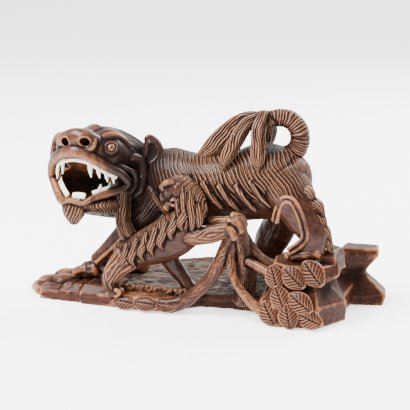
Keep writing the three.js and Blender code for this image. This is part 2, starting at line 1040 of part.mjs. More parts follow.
// Stepped blocks along the left of the showing side
function leftBlocks() {
  const edges = [-113, -96.5, -88, -79.5, -54];
  const blocks = edges.slice(1).map((right, i) => {
    const left = edges[i] + 0.5;
    const near = -37.6 - [0, 0.4, 0.6, 3][i];
    const top = [10, 11.5, 12, 13][i];
    const end = right - 0.5;
    return stone([
      [0, [left, near], [end, near - 0.6], [end, -8], [left, -8]],
      [top * 0.62, [left, near], [end, near - 0.8], [end, -8], [left, -8]],
      [top, [left + 1, near + 5], [end - 1, near + 5], [end - 1, -8], [left + 1, -8]],
    ]);
  });
  const humps = [
    [-113, -18, 8, 9, 8, 4.5],
    [-101, -20, 10, 8, 8, 5],
    [-106, -5, 9, 10, 8, 5.5],
    [-95, 2, 11, 10, 9, 5],
    [-64, -20, 11, 9, 8, 5],
  ].map(([x, y, z, a, b, c]) => solid(blob([x, y, z], [a, b, c])));
  return joined([...blocks, ...humps]);
}

// The leafy mound at the foot of the cub
function leafMound() {
  const mound = limb(
    [
      [-54, -34, 4, 8, 6],
      [-34, -36, 5, 8, 6.5],
      [-14, -34, 5, 8, 6],
    ],
    { sides: 6 },
  );
  const front = [
    [-43, -44, 5.6],
    [-27.5, -44.6, 6.2],
    [-13.5, -42, 6.2],
  ].map((centre) => leaf(centre, [1, 0.1, -0.12], [0, -0.85, 0.55], 18, 11));
  const top = [
    [-46, -33, 11.5, 30],
    [-33, -34, 12, -20],
    [-20, -33, 12, 30],
    [-9, -34, 10.5, -15],
  ].map(([x, y, z, turn]) => {
    const angle = THREE.MathUtils.degToRad(turn);
    return leaf([x, y, z - 1], [Math.cos(angle), Math.sin(angle), 0], [0, -0.3, 1], 15, 8);
  });
  return joined([mound, ...front, ...top]);
}

// Roots that arch from the ground to the stump where the cub rests its paws
function roots() {
  const arch = limb(
    [
      [-12, -39, 5, 5.5, 5],
      [-2, -39, 8.5, 5, 4.6],
      [7, -38, 16, 4.6, 4.4],
      [15.5, -36, 25, 4.6, 4.6],
      [22, -34, 36, 4.8, 5],
      [26.5, -32, 48, 4.6, 5],
      [30, -31, 57, 5, 5],
    ],
    { sides: 6, up: AWAY },
  );
  const inner = limb(
    [
      [32, -31, 54, 4, 3.6],
      [30.5, -34, 40, 3.4, 3],
      [34, -37, 28, 3, 2.6],
      [41, -39, 19, 3, 2.6],
      [50, -41, 11.5, 3.6, 3],
      [58, -41, 7, 4, 4],
    ],
    { sides: 6, up: AWAY },
  );
  const stump = limb(
    [
      [34.5, -30, 68, 5, 5.5],
      [35, -29, 58, 6, 6],
      [37, -27, 46, 7, 6.5],
      [39, -25, 34, 8, 7.5],
      [38, -23, 22, 9, 7],
      [36, -21, 10, 10, 8],
    ],
    { sides: 8, up: FORWARD, flute: 0.05 },
  );
  const slab = limb(
    [
      [37, -27, 54, 4, 5],
      [41.5, -25, 46, 5, 5],
      [48.5, -23, 38, 6, 5],
      [57, -21, 33.5, 6, 5.5],
    ],
    { sides: 5 },
  );
  const branch = limb(
    [
      [42, -31, 39, 3, 3],
      [52, -34, 36, 3, 3],
      [62, -37, 33, 3.4, 3.4],
    ],
    { sides: 5 },
  );
  return joined([arch, inner, stump, slab, branch]);
}

// The right-hand rock, waisted between its ledge and its foot
function nearRock() {
  const body = stone([
    [0, [54, -38], [66, -47], [94, -41], [106, -14], [97, 6], [62, 8], [48, -16]],
    [14, [52, -38], [64, -46], [94, -42], [107, -18], [98, 4], [62, 8], [47, -16]],
    [26, [60, -33], [68, -38], [90, -36], [95, -20], [93, 3], [64, 6], [54, -14]],
    [32, [57, -34], [67, -41], [92, -38], [103, -22], [98, 3], [64, 6], [54, -14]],
    [40, [60, -31], [69, -36], [93, -34], [102, -20], [97, 3], [64, 6], [56, -12]],
  ]);
  const block = stone([
    [34, [90, -24], [100, -24], [103, -4], [90, 4]],
    [44, [90, -22], [100, -22], [102, -4], [90, 3]],
    [48, [91, -17], [97, -17], [99.5, -5], [91, 2]],
  ]);
  const hollow = limb(
    [
      [45, -52, 21, 6.5, 7],
      [50, -36, 23, 7, 8],
      [54, -24, 23, 4.5, 5],
    ],
    { sides: 8 },
  );
  const leaves = [
    [63.5, -40, 32, -70, 17, 13.5],
    [77, -42, 33.5, -40, 19, 15],
    [89.5, -40, 37, -50, 20, 16],
    [69, -45, 19.5, -65, 18, 14],
    [83, -46, 18, -35, 19, 14.5],
    [61.5, -45, 8.5, -60, 18, 15],
    [75.5, -48, 8.5, -75, 17, 14.5],
    [89.5, -46, 7.5, -20, 18, 13.5],
  ].map(([x, y, z, turn, length, width]) => {
    const angle = THREE.MathUtils.degToRad(turn);
    const along = [Math.cos(angle), 0, Math.sin(angle)];
    return leaf([x, y, z], along, [0.05, -1, 0.25], length, width);
  });
  return { rock: joined([body, block, ...leaves]), hollow };
}

// The fishtail rock behind, waisted in the same way
function fishtailRock() {
  return stone([
    [0, [88, 18], [122, 27], [118.5, 48], [90, 50]],
    [7, [88, 19], [124, 29], [119.5, 49], [90, 50]],
    [20, [91, 24], [109, 31], [105.5, 44], [92, 46]],
    [24, [91, 24], [109, 31], [105.5, 44], [92, 46]],
    [35, [88, 23], [118, 29.5], [114, 47], [90, 48]],
    [39.5, [91, 27], [117.5, 31], [114.5, 45], [91, 44]],
  ]);
}

function carvedWood() {
  const { rock, hollow } = nearRock();
  const base = joined([ground(), leftBlocks(), leafMound(), roots(), rock]).subtract(hollow);
  const lion = joined([
    trunk(),
    tail(),
    nearHindLeg(),
    farHindLeg(),
    nearForeLeg(),
    farForeLeg(),
    headMass(),
    lowerJaw(),
    ear(1, 0),
    ear(-1, 7),
  ]).subtract(mouthHollow());
  const rings = [socketRing(NEAR_EYE, [0.75, 0.62, 0.2]), socketRing(FAR_EYE, [0.75, -0.6, 0.2])];
  const cub = joined([cubBody(), ...cubLocks(), cubLegs(), cubTail()]);
  const whole = joined([base, fishtailRock(), lion, lipsAndScrolls(), ...rings, cub]);
  let wood = thinned(whole, FACET_BUDGET);
  const cuts = [
    ...nostrils(),
    eyeBall(NEAR_EYE, EYE_RADIUS + INLAY_CLEARANCE, HEAD),
    eyeBall(FAR_EYE, EYE_RADIUS + INLAY_CLEARANCE, HEAD),
    ...CUB_EYES.map((centre) => eyeBall(centre, CUB_EYE_RADIUS + INLAY_CLEARANCE)),
    upperTeeth(INLAY_CLEARANCE),
    lowerNearTeeth(INLAY_CLEARANCE),
    lowerFarTeeth(INLAY_CLEARANCE),
    lowerFrontTeeth(INLAY_CLEARANCE),
  ];
  for (const cut of cuts) wood = wood.subtract(cut);
  const below = solid(new THREE.BoxGeometry(400, 300, 40).translate(0, 0, -20));
  return wood.subtract(below);
}

// A named mesh from a solid with its finish
function node(name, body, color, roughness) {
  const made = body.getMesh();
  const geometry = new THREE.BufferGeometry();
  geometry.setAttribute("position", new THREE.BufferAttribute(made.vertProperties, 3));
  geometry.setIndex(new THREE.BufferAttribute(made.triVerts, 1));
  geometry.computeVertexNormals();
  const material = new THREE.MeshStandardMaterial({ color, roughness, metalness: 0 });
  const mesh = new THREE.Mesh(geometry, material);
  mesh.name = name;
  return mesh;
}

const group = new THREE.Group();
group.add(
  node("carved_wood", carvedWood(), 0x5a2f20, 0.45),
  node("upper_teeth", upperTeeth(), 0xece6d4, 0.4),
  node("lower_near_teeth", lowerNearTeeth(), 0xece6d4, 0.4),
  node("lower_far_teeth", lowerFarTeeth(), 0xece6d4, 0.4),
  node("lower_front_teeth", lowerFrontTeeth(), 0xe0d2ae, 0.4),
  node("eye_near", eyeBall(NEAR_EYE, EYE_RADIUS, HEAD), 0x9a6a24, 0.1),
  node("eye_far", eyeBall(FAR_EYE, EYE_RADIUS, HEAD), 0x9a6a24, 0.1),
  node("cub_eye_near", eyeBall(CUB_EYES[0], CUB_EYE_RADIUS), 0x9a6a24, 0.1),
  node("cub_eye_far", eyeBall(CUB_EYES[1], CUB_EYE_RADIUS), 0x9a6a24, 0.1),
);

// The row's origin: the middle of the footprint, at the foot
const bounds = new THREE.Box3().setFromObject(group);
const middle = bounds.getCenter(new THREE.Vector3());
group.position.set(-middle.x, -middle.y, -bounds.min.z);

export default group;
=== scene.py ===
import math
from collections import namedtuple

import bpy
import numpy as np
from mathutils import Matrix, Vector


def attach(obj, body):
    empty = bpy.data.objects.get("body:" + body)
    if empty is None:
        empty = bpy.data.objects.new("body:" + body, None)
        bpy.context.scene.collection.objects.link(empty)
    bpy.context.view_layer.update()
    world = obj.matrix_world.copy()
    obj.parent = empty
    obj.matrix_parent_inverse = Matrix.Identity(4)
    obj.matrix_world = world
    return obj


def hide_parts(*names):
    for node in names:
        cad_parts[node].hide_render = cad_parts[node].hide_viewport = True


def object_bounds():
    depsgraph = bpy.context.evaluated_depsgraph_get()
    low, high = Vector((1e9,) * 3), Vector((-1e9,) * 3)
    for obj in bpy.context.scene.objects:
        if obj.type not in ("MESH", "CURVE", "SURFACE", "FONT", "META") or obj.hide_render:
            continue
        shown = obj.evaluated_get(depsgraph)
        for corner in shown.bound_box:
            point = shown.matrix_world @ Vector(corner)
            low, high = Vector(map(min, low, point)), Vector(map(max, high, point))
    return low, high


bl_info = {
    "name": "Carved lion ornament",
    "version": (1, 0, 0),
    "blender": (4, 5, 0),
    "location": "View3D > Sidebar > Ornament",
    "description": "A hardwood lion with its cub on a leafy rock base, with inlaid teeth and glass eyes",
    "category": "Object",
}

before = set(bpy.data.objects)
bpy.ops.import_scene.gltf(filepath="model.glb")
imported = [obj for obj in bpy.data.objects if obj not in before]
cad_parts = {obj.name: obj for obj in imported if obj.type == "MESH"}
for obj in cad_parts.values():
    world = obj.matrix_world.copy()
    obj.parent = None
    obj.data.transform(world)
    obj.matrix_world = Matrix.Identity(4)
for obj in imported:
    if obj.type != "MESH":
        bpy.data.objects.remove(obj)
CAD_LOW, CAD_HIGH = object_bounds()

# Points are written in millimetres in the carver's frame, where the fishtail's corner is at 124 and the
# back of the base at 50, and move to the row's origin with the frame's own box
MM = 1000
SHIFT = np.array([CAD_HIGH.x * MM - 124.0, CAD_HIGH.y * MM - 50.0, 0.0])
UP = (0.0, 0.0, 1.0)
FORWARD = (1.0, 0.0, 0.0)
AWAY = (0.0, 1.0, 0.0)

# Sizes in millimetres: the gum strips, the rings of the tail, the leaves' backs, the deepest hollow noted
GUM_HEIGHT = 2.1
TOOTH_THICKNESS = 2.0
RIB_WAVE = 3.6
LEAF_BACK = 4.0
DEEPEST = 2.2

# Amounts: how sharp the cuts are, rounds of smoothing for a hollow's depth, the leaves' tone, the upward
# grey
LOCK_POWER = 0.8
WIDE_ROUNDS = 70
LEAF_RUB = -0.75
GROUND_UPWARD_GREY = 0.8
NOISE_SEED = 11

# A skin's points and faces, then the line it is carried along: its centres, its directions along, aside
# and up, its half widths, the distance from its start, and the style of its hair
Skin = namedtuple("Skin", "verts faces centres alongs sides ups halves arc hair")


def turn(axis, degrees):
    """The 3 by 3 matrix of a turn about one axis by the right-hand rule."""
    c, s = math.cos(math.radians(degrees)), math.sin(math.radians(degrees))
    if axis == "x":
        return np.array([[1, 0, 0], [0, c, -s], [0, s, c]])
    if axis == "y":
        return np.array([[c, 0, s], [0, 1, 0], [-s, 0, c]])
    return np.array([[c, -s, 0], [s, c, 0], [0, 0, 1]])


# The head's own frame: first axis out of the nose, second to its left cheek, third to the crown
HEAD_TURN = turn("z", 258) @ turn("y", -18) @ turn("x", 5)
HEAD_PLACE = np.array([-70.8, -18.0, 94.6])


def in_head(points):
    """Points of the head's own frame, turned and moved to the carver's frame."""
    return np.asarray(points, float) @ HEAD_TURN.T + HEAD_PLACE


def catmull(rows, steps):
    """A centripetal Catmull-Rom curve through the rows, with its derivative.

    Each span blends its two rows and two tangents as a cubic; a tangent weighs the slopes on both
    sides by the square roots of the distances between the places."""
    rows = np.asarray(rows, float)
    if len(rows) == 2:
        rows = np.array([rows[0], (rows[0] + rows[1]) / 2, rows[1]])
    ends = (2 * rows[0] - rows[1], 2 * rows[-1] - rows[-2])
    full = np.vstack([ends[0], rows, ends[1]])
    gaps = np.sqrt(np.maximum(np.linalg.norm(np.diff(full[:, :3], axis=0), axis=1), 1e-4))[:, None]
    p0, p1, p2, p3 = full[:-3], full[1:-2], full[2:-1], full[3:]
    d0, d1, d2 = gaps[:-2], gaps[1:-1], gaps[2:]
    m1 = ((p1 - p0) / d0 - (p2 - p0) / (d0 + d1) + (p2 - p1) / d1) * d1
    m2 = ((p2 - p1) / d1 - (p3 - p1) / (d1 + d2) + (p3 - p2) / d2) * d1
    t = np.linspace(0, 1, steps, endpoint=False)[None, :, None]
    square, cube = -3 * p1 + 3 * p2 - 2 * m1 - m2, 2 * p1 - 2 * p2 + m1 + m2
    a, b, c, d = (v[:, None, :] for v in (p1, m1, square, cube))
    curve = (a + b * t + c * t**2 + d * t**3).reshape(-1, rows.shape[1])
    slope = (b + 2 * c * t + 3 * d * t**2).reshape(-1, rows.shape[1])
    return np.vstack([curve, rows[-1]]), np.vstack([slope, m2[-1]])


def unit(vectors):
    """Each vector divided by its length."""
    return vectors / np.maximum(np.linalg.norm(vectors, axis=-1, keepdims=True), 1e-9)


def tuples(faces):
    """The rows of an array of point numbers as a list of tuples."""
    return [tuple(f) for f in faces.tolist()]


def facing_out(verts, faces):
    """The faces, turned over if the volume that they enclose comes out negative."""
    halves = [f[:3] for f in faces] + [(f[0], f[2], f[3]) for f in faces if len(f) == 4]
    tri = np.array(halves)
    a, b, c = (verts[tri[:, k]] for k in range(3))
    if np.einsum("ij,ij->i", a, np.cross(b, c)).sum() < 0:
        return [tuple(reversed(f)) for f in faces]
    return faces


def ring_faces(rings, count):
    """Quads between neighbouring rings and a fan to each of the two tips that follow them."""
    j = np.arange(count)
    k = (j + 1) % count
    i = (np.arange(rings - 1) * count)[:, None]
    quads = np.stack([i + j, i + k, i + count + k, i + count + j], -1).reshape(-1, 4)
    last, tips = (rings - 1) * count, rings * count
    first_fan = np.stack([tips + 0 * j, k, j], -1)
    last_fan = np.stack([tips + 1 + 0 * j, last + j, last + k], -1)
    return tuples(quads) + tuples(first_fan) + tuples(last_fan)


def limb(stations, up=UP, flute=0.0, rib=0.0, dome=0.6, hair="smooth", fine=1.4):
    """An oval section carried along a curve and closed by a dome at each end.

    A station is a centre and the half widths w and h. The place is centre + side * w * cos(a) + above *
    h * sin(a). A flute swells the section by cos(5a) and a rib by the cosine of the distance along. The
    rings of a dome shrink by the cosine of an angle while their centres move out by its sine."""
    rows = np.array([list(s) for s in stations], float)
    span = np.linalg.norm(np.diff(rows[:, :3], axis=0), axis=1)
    curve, slope = catmull(rows, int(np.clip(span.max() / fine, 3, 40)))
    centres, halves = curve[:, :3], np.maximum(curve[:, 3:5], 0.2)
    alongs = unit(slope[:, :3])
    ups, above = [], np.array(up, float)
    for along in alongs:
        above = unit(above - along * above.dot(along))
        ups.append(above)
    ups = np.array(ups)
    sides = np.cross(alongs, ups)
    arc = np.concatenate([[0], np.cumsum(np.linalg.norm(np.diff(centres, axis=0), axis=1))])
    count = int(np.clip(2 * math.pi * halves.max() / fine, 12, 72))
    angle = np.arange(count) / count * 2 * math.pi
    swell = 1 + flute * np.cos(5 * angle)[None, :] + rib * np.cos(2 * math.pi * arc / RIB_WAVE)[:, None]
    reach = dome * halves.min(1)
    q = np.array([0.93, 0.75, 0.5, 0.25]) * math.pi / 2

    def dome_centres(end, sign, angles):
        """The middles of the rings of one end's dome."""
        return centres[end] + sign * alongs[end] * (reach[end] * np.sin(angles))[:, None]

    spine = np.vstack([dome_centres(0, -1, q), centres, dome_centres(-1, 1, q[::-1])])
    shrink = np.concatenate([np.cos(q), np.ones(len(centres)), np.cos(q[::-1])])
    last = len(centres) - 1
    pick = np.concatenate([np.zeros(len(q), int), np.arange(len(centres)), np.full(len(q), last)])
    wide = (sides[pick] * (halves[pick, :1] * shrink[:, None]))[:, None, :] * np.cos(angle)[None, :, None]
    high = (ups[pick] * (halves[pick, 1:] * shrink[:, None]))[:, None, :] * np.sin(angle)[None, :, None]
    verts = spine[:, None, :] + (wide + high) * swell[pick][:, :, None]
    tips = [centres[0] - alongs[0] * reach[0], centres[-1] + alongs[-1] * reach[-1]]
    verts = np.vstack([verts.reshape(-1, 3), tips])
    faces = facing_out(verts - verts.mean(0), ring_faces(len(spine), count))
    return Skin(verts, faces, centres, alongs, sides, ups, halves, arc, hair)


def head_limb(stations, **options):
    """The same limb given in the head's own frame."""
    s = limb(stations, **options)
    verts, centres = in_head(s.verts), in_head(s.centres)
    alongs, sides, ups = (v @ HEAD_TURN.T for v in (s.alongs, s.sides, s.ups))
    return s._replace(verts=verts, centres=centres, alongs=alongs, sides=sides, ups=ups)


def lock(stations, **options):
    """A lock of hair: a taper with a long dome at its point."""
    return limb(stations, **{"dome": 1.2, "hair": "along", "fine": 1.1, **options})


def plain(verts, faces):
    """A closed shape with no line of its own."""
    verts = np.asarray(verts, float)
    middle, none = verts.mean(0), np.zeros((1, 3))
    faces = facing_out(verts - middle, faces)
    return Skin(verts, faces, middle[None], none, none, none, np.ones((1, 2)), np.zeros(1), "smooth")


def blob(centre, radii, rings=14, count=24):
    """An egg: centre + radii * (sin p cos a, sin p sin a, cos p)."""
    p = (np.arange(rings) + 1) / (rings + 1) * math.pi
    a = np.arange(count) / count * 2 * math.pi
    height = np.outer(np.cos(p), np.ones(count))
    grid = np.stack([np.outer(np.sin(p), np.cos(a)), np.outer(np.sin(p), np.sin(a)), height], -1)
    verts = np.vstack([grid.reshape(-1, 3), [[0, 0, 1], [0, 0, -1]]]) * radii + centre
    return plain(verts, ring_faces(rings, count))


def stone(levels):
    """A stone built up from level outlines, each a height followed by its corners."""
    rings = [np.array([(x, y, level[0]) for x, y in level[1:]], float) for level in levels]
    verts = np.vstack([*rings, rings[0].mean(0), rings[-1].mean(0)])
    return plain(verts, ring_faces(len(rings), len(rings[0])))


def leaf(centre, lengthwise, facing, length, width):
    """A carved leaf: a domed blade with a sunk midrib and slanting side veins over a thick back.

    With t from 0 to 1 along and v from -1 to 1 across, the half width follows sin(pi t) to the power
    0.75. The height is a dome of 1 - v * v times the root of sin(pi t), less a groove along v = 0 and
    grooves where 7.5 (t + 0.3 |v|) is a whole number."""
    t, v = np.linspace(0, 1, 36)[:, None], np.linspace(-1, 1, 23)[None, :]
    half = width / 2 * np.sin(math.pi * np.clip(0.04 + t * 0.93, 0, 1)) ** 0.75
    step = (t + 0.30 * np.abs(v)) * 7.5
    veins = np.abs(np.sin(math.pi * step)) ** 0.6
    edge = np.clip((1 - np.abs(v)) * 4, 0, 1) * np.clip(np.minimum(t, 1 - t) * 9, 0, 1)
    bow = np.sin(math.pi * np.clip(0.05 + t * 0.9, 0, 1))
    rise = width * 0.2 * (1 - v * v) * np.sqrt(np.clip(bow, 0, 1))
    top = rise - edge * (0.55 * (1 - veins) + 0.7 * np.exp(-((v * half / 0.7) ** 2)))
    x = length * (t - 0.5) + 0 * v
    y = half * v
    grid = np.stack([x, y, top], -1)
    under = np.stack([x, y * 0.8, np.full_like(top, -LEAF_BACK)], -1)
    n, m = top.shape
    verts = np.vstack([grid.reshape(-1, 3), under.reshape(-1, 3)])
    i, j = np.meshgrid(np.arange(n - 1), np.arange(m - 1), indexing="ij")
    q = (i * m + j).ravel()
    upper = np.stack([q, q + m, q + m + 1, q + 1], -1)
    lower = np.stack([q, q + 1, q + m + 1, q + m], -1) + n * m
    rim = np.concatenate([
        np.arange(m), np.arange(1, n) * m + m - 1,
        (n - 1) * m + np.arange(m - 2, -1, -1), np.arange(n - 2, 0, -1) * m,
    ])
    nxt = np.roll(rim, -1)
    wall = np.stack([rim, nxt, nxt + n * m, rim + n * m], -1)
    z = unit(np.array(facing, float))
    ax = np.array(lengthwise, float)
    ax = unit(ax - z * ax.dot(z))
    turned = np.outer(verts[:, 0], ax) + np.outer(verts[:, 1], np.cross(z, ax)) + np.outer(verts[:, 2], z)
    return plain(turned + np.array(centre, float), tuples(np.vstack([upper, lower, wall])))


def socket_ring(centre, outward, radius, tube, turns=40, sides=14):
    """A rim round an eye or a nostril, in the head's frame: a torus whose axis is the outward direction.

    The place is (radius + tube * cos(b)) * (x cos(a) + y sin(a)) + z * tube * sin(b)."""
    a = np.linspace(0, 2 * math.pi, turns, endpoint=False)[:, None]
    b = np.linspace(0, 2 * math.pi, sides, endpoint=False)[None, :]
    z = unit(np.array(outward, float))
    x = unit(np.cross(UP, z))
    y = np.cross(z, x)
    wide = (radius + tube * np.cos(b))[..., None]
    place = wide * (np.cos(a)[..., None] * x + np.sin(a)[..., None] * y) + (tube * np.sin(b))[..., None] * z
    verts = in_head(place.reshape(-1, 3) + np.array(centre, float) + z * 1.6)
    i, j = np.meshgrid(np.arange(turns), np.arange(sides), indexing="ij")
    row, next_row, beside = i * sides, (i + 1) % turns * sides, (j + 1) % sides
    faces = np.stack([row + j, next_row + j, next_row + beside, row + beside], -1)
    return plain(verts, tuples(faces.reshape(-1, 4)))


def trunk():
    """The lion's trunk and chest, and the locks along both flanks."""
    coat = limb(
        [[-60, 3, 94, 10, 13], [-48, 6, 90, 11.5, 17], [-40, 5, 87, 13.5, 20.5],
         [-30, 1, 84, 18.5, 24.5], [-14, -1, 81.5, 21.5, 24.5], [10, -2, 82.5, 21, 23],
         [30, -2, 85.5, 21, 24.8], [47, -2.5, 90, 22, 26], [59, -4.5, 92, 20.5, 21.5],
         [66.5, -5, 92, 16, 16.5]], dome=0.7, hair="coat"
    )
    chest = limb(
        [[-44, -3, 76, 16, 15], [-42, -4, 63, 14, 13], [-37, -4, 55, 10, 9]], up=FORWARD, hair="coat"
    )
    flank = [
        lock([[x - 7, -21.5, low + 14, 4, 2], [x, -23, low + 5, 3.4, 2], [x + 6, -22, low - 2, 1.1, 1.1]])
        for x, low in ((-22, 64), (-10, 68), (2, 77), (14, 74), (26, 73), (38, 74), (48, 78))
    ]
    far_flank = [
        lock([[x - 7, 15, 78, 4, 3], [x, 17.5, 70, 3.6, 3], [x + 6, 15.5, 63, 1.2, 1.2]])
        for x in (-18, 2, 20, 36)
    ]
    return [coat, chest, *flank, *far_flank]


def tail():
    """The knotted tail: a ringed hoop off the rump, a knot, and locks falling forward."""
    hoop = limb(
        [[55, -1, 105, 8, 8], [63.5, 0, 109, 7.4, 7.4], [68, 0, 117, 6.9, 6.9],
         [67, -1, 126, 6.7, 6.7], [61.5, -2, 132, 6.5, 6.5], [54, -3, 133.3, 6.2, 6.2],
         [47, -4, 131.5, 5.8, 5.8]], rib=0.012, hair="rings"
    )
    knot = limb([[50, -7, 129, 5, 5], [46, -5, 132, 6, 6], [41, -3, 132.5, 6, 5.5]], hair="along")
    paths = [
        [
         [43, -3, 133, 4, 4], [30, -3, 130.5, 6, 4.5], [17, -3, 120.5, 7.5, 5],
         [4, -3, 108, 6.5, 4.5], [-4, -3, 103, 2.5, 2.5]
        ],
        [
         [41, -7, 133, 4, 4], [33, -9, 128.5, 5, 4.5], [26, -14, 116, 5.2, 5],
         [21.5, -18, 106, 4.5, 4], [20, -20, 100, 2, 2]
        ],
        [
         [45, -8, 133.5, 4.5, 4.5], [43.5, -14, 127, 5, 5], [44.5, -20, 115, 5, 5],
         [45.5, -23, 106, 4.5, 4], [46, -24, 101.5, 1.8, 1.8]
        ],
        [
         [44, 1, 132, 4, 4], [44.5, 7, 124, 5, 4.5], [39, 13, 112, 5, 4.5], [36, 15, 103, 2, 2]
        ],
    ]
    locks = [lock(path, flute=0.09, up=AWAY) for path in paths]
    return [hoop, knot, *locks]


def near_hind_leg():
    """The near hind leg with the doubled ridge over its thigh and the tufts behind the shin."""
    leg = limb(
        [[58, -10, 92, 15, 18], [67, -14, 82, 14, 16], [76, -18, 69, 10.5, 12],
         [84, -20.5, 58, 8, 9.5], [84, -21.5, 49, 7, 8.5]], up=FORWARD, hair="haunch"
    )
    foot = limb([[88, -21, 47, 7.5, 5], [79, -22, 45.5, 7.5, 5], [71, -22, 44, 6.5, 4]])
    bend = [[56, -21, 66], [59, -24, 75], [64, -26.5, 83.5], [71.5, -28, 83.5], [77.5, -29, 76],
            [81, -29, 66], [82, -29, 58], [77, -29, 51], [70, -28, 46]]
    inner = [[59, -22, 65], [62, -25, 74], [65.5, -27, 80.3], [70.8, -28.3, 80.4], [75, -29.2, 74.5],
             [78, -29.2, 65.5], [79, -29.2, 58.5], [75, -29.2, 53.5], [69, -28.5, 49]]
    ridges = [limb([[*place, 1.35, 1.5] for place in line], up=AWAY, fine=1.0) for line in (bend, inner)]
    tufts = [
        lock([[x - 10, -17, z + 4, 4, 4], [x - 4, -18, z + 2, 4.5, 4.2], [x - 0.5, -18.5, z - 3, 2.2, 2.2]])
        for x, z in ((84, 84), (90, 76), (92, 67), (95, 59), (96.5, 51.5))
    ]
    toes = [limb([[73, y, 45, 2.6, 3], [67.5, y, 43.5, 2.4, 2.4]]) for y in (-25.5, -18)]
    return [leg, foot, *ridges, *tufts, *toes]


def far_hind_leg():
    """The far hind leg, dark behind the near one."""
    leg = limb(
        [[55, 8, 86, 15, 18], [53, 13, 70, 13, 13.5], [50, 17, 56, 12, 12.5], [43, 19, 43, 10.5, 12],
         [39, 20, 33, 8, 10]], up=FORWARD, hair="haunch"
    )
    foot = limb([[42, 20, 32, 7, 5.5], [30, 20, 30, 6.5, 4.5]])
    return [leg, foot]


def near_fore_leg():
    """The near foreleg with a ridge down it, curls at the wrist and the paw."""
    leg = limb(
        [[-32, -8, 76, 12, 14], [-42, -12, 62, 9, 11], [-54, -14, 48, 7, 8.5],
         [-67, -13.5, 34.5, 6, 7], [-77.5, -12.5, 24, 5.5, 6.5]], up=FORWARD, hair="shoulder"
    )
    ridge = limb([[-52, -21, 48, 1.6, 1.6], [-65, -19.5, 35, 1.6, 1.6], [-76, -18, 25, 1.6, 1.6]])
    curls = [
        lock([[x - 4, -14, z + 4, 3, 3], [x + 2, -15, z + 1, 3, 3], [x + 5, -15, z - 3, 1.5, 1.5]])
        for x, z in ((-60, 31), (-65, 24), (-71, 18))
    ]
    paw = limb([[-78, -12, 19, 8.5, 6.5], [-86, -12.5, 17, 8, 6.5]])
    toes = [
        limb([[-84, y, 19, 2.9, 3.5], [-91, y, 17, 2.8, 3.2], [-94, y, 13.5, 2, 2]])
        for y in (-18, -12.5, -7)
    ]
    return [leg, ridge, *curls, paw, *toes]


def far_fore_leg():
    """The far foreleg and its paw."""
    leg = limb(
        [[-34, 4, 76, 12, 14], [-40, 8, 58, 9, 10], [-46, 11, 40, 7.5, 8],
         [-54, 13, 24, 6.5, 7]], up=FORWARD, hair="shoulder"
    )
    paw = limb([[-52, 13, 18, 8, 6], [-64, 13, 15, 7.5, 5.5]])
    return [leg, paw]


def head_mass():
    """Skull, muzzle, nose and brows in the head's own frame."""
    skull = head_limb(
        [[-34, 12, 4, 17, 16], [-20, 5, 6, 23, 20], [-6, 0, 7, 25, 22], [6, -4, 8, 26, 20],
         [14, -6, 9, 22, 14]], hair="skull"
    )
    muzzle = head_limb([[4, -5, 8, 27, 13], [14, -6, 8.5, 23, 12], [23, -6, 9.5, 17, 10]])
    nose = head_limb(
        [[20, -21, 13, 4.5, 4.5], [25.5, -13, 14.5, 6.5, 6.5], [27, -4, 15.5, 6.5, 7],
         [25, 3.5, 15, 6.5, 6.5], [20, 8.5, 14.5, 4.5, 4.5]]
    )
    bridge = head_limb([[24, -4.5, 18, 6, 4.5], [15, -5, 21, 6, 4], [6, -4, 24.5, 8, 5]])
    near_brow = head_limb(
        [[17, 6, 14, 3, 3], [14, 11, 17.5, 4, 3.6], [7, 15.5, 19, 4.5, 4], [1, 19, 15, 4, 3.6],
         [0, 20.5, 9, 2.6, 2.6]]
    )
    far_brow = head_limb(
        [[18, -23, 18, 3, 3], [15, -27.5, 18.5, 4, 3.5], [13, -31, 14, 4, 3.5],
         [14, -31.5, 7, 3.4, 3], [16, -29.5, 1, 3, 3]]
    )
    return [skull, muzzle, nose, bridge, near_brow, far_brow]


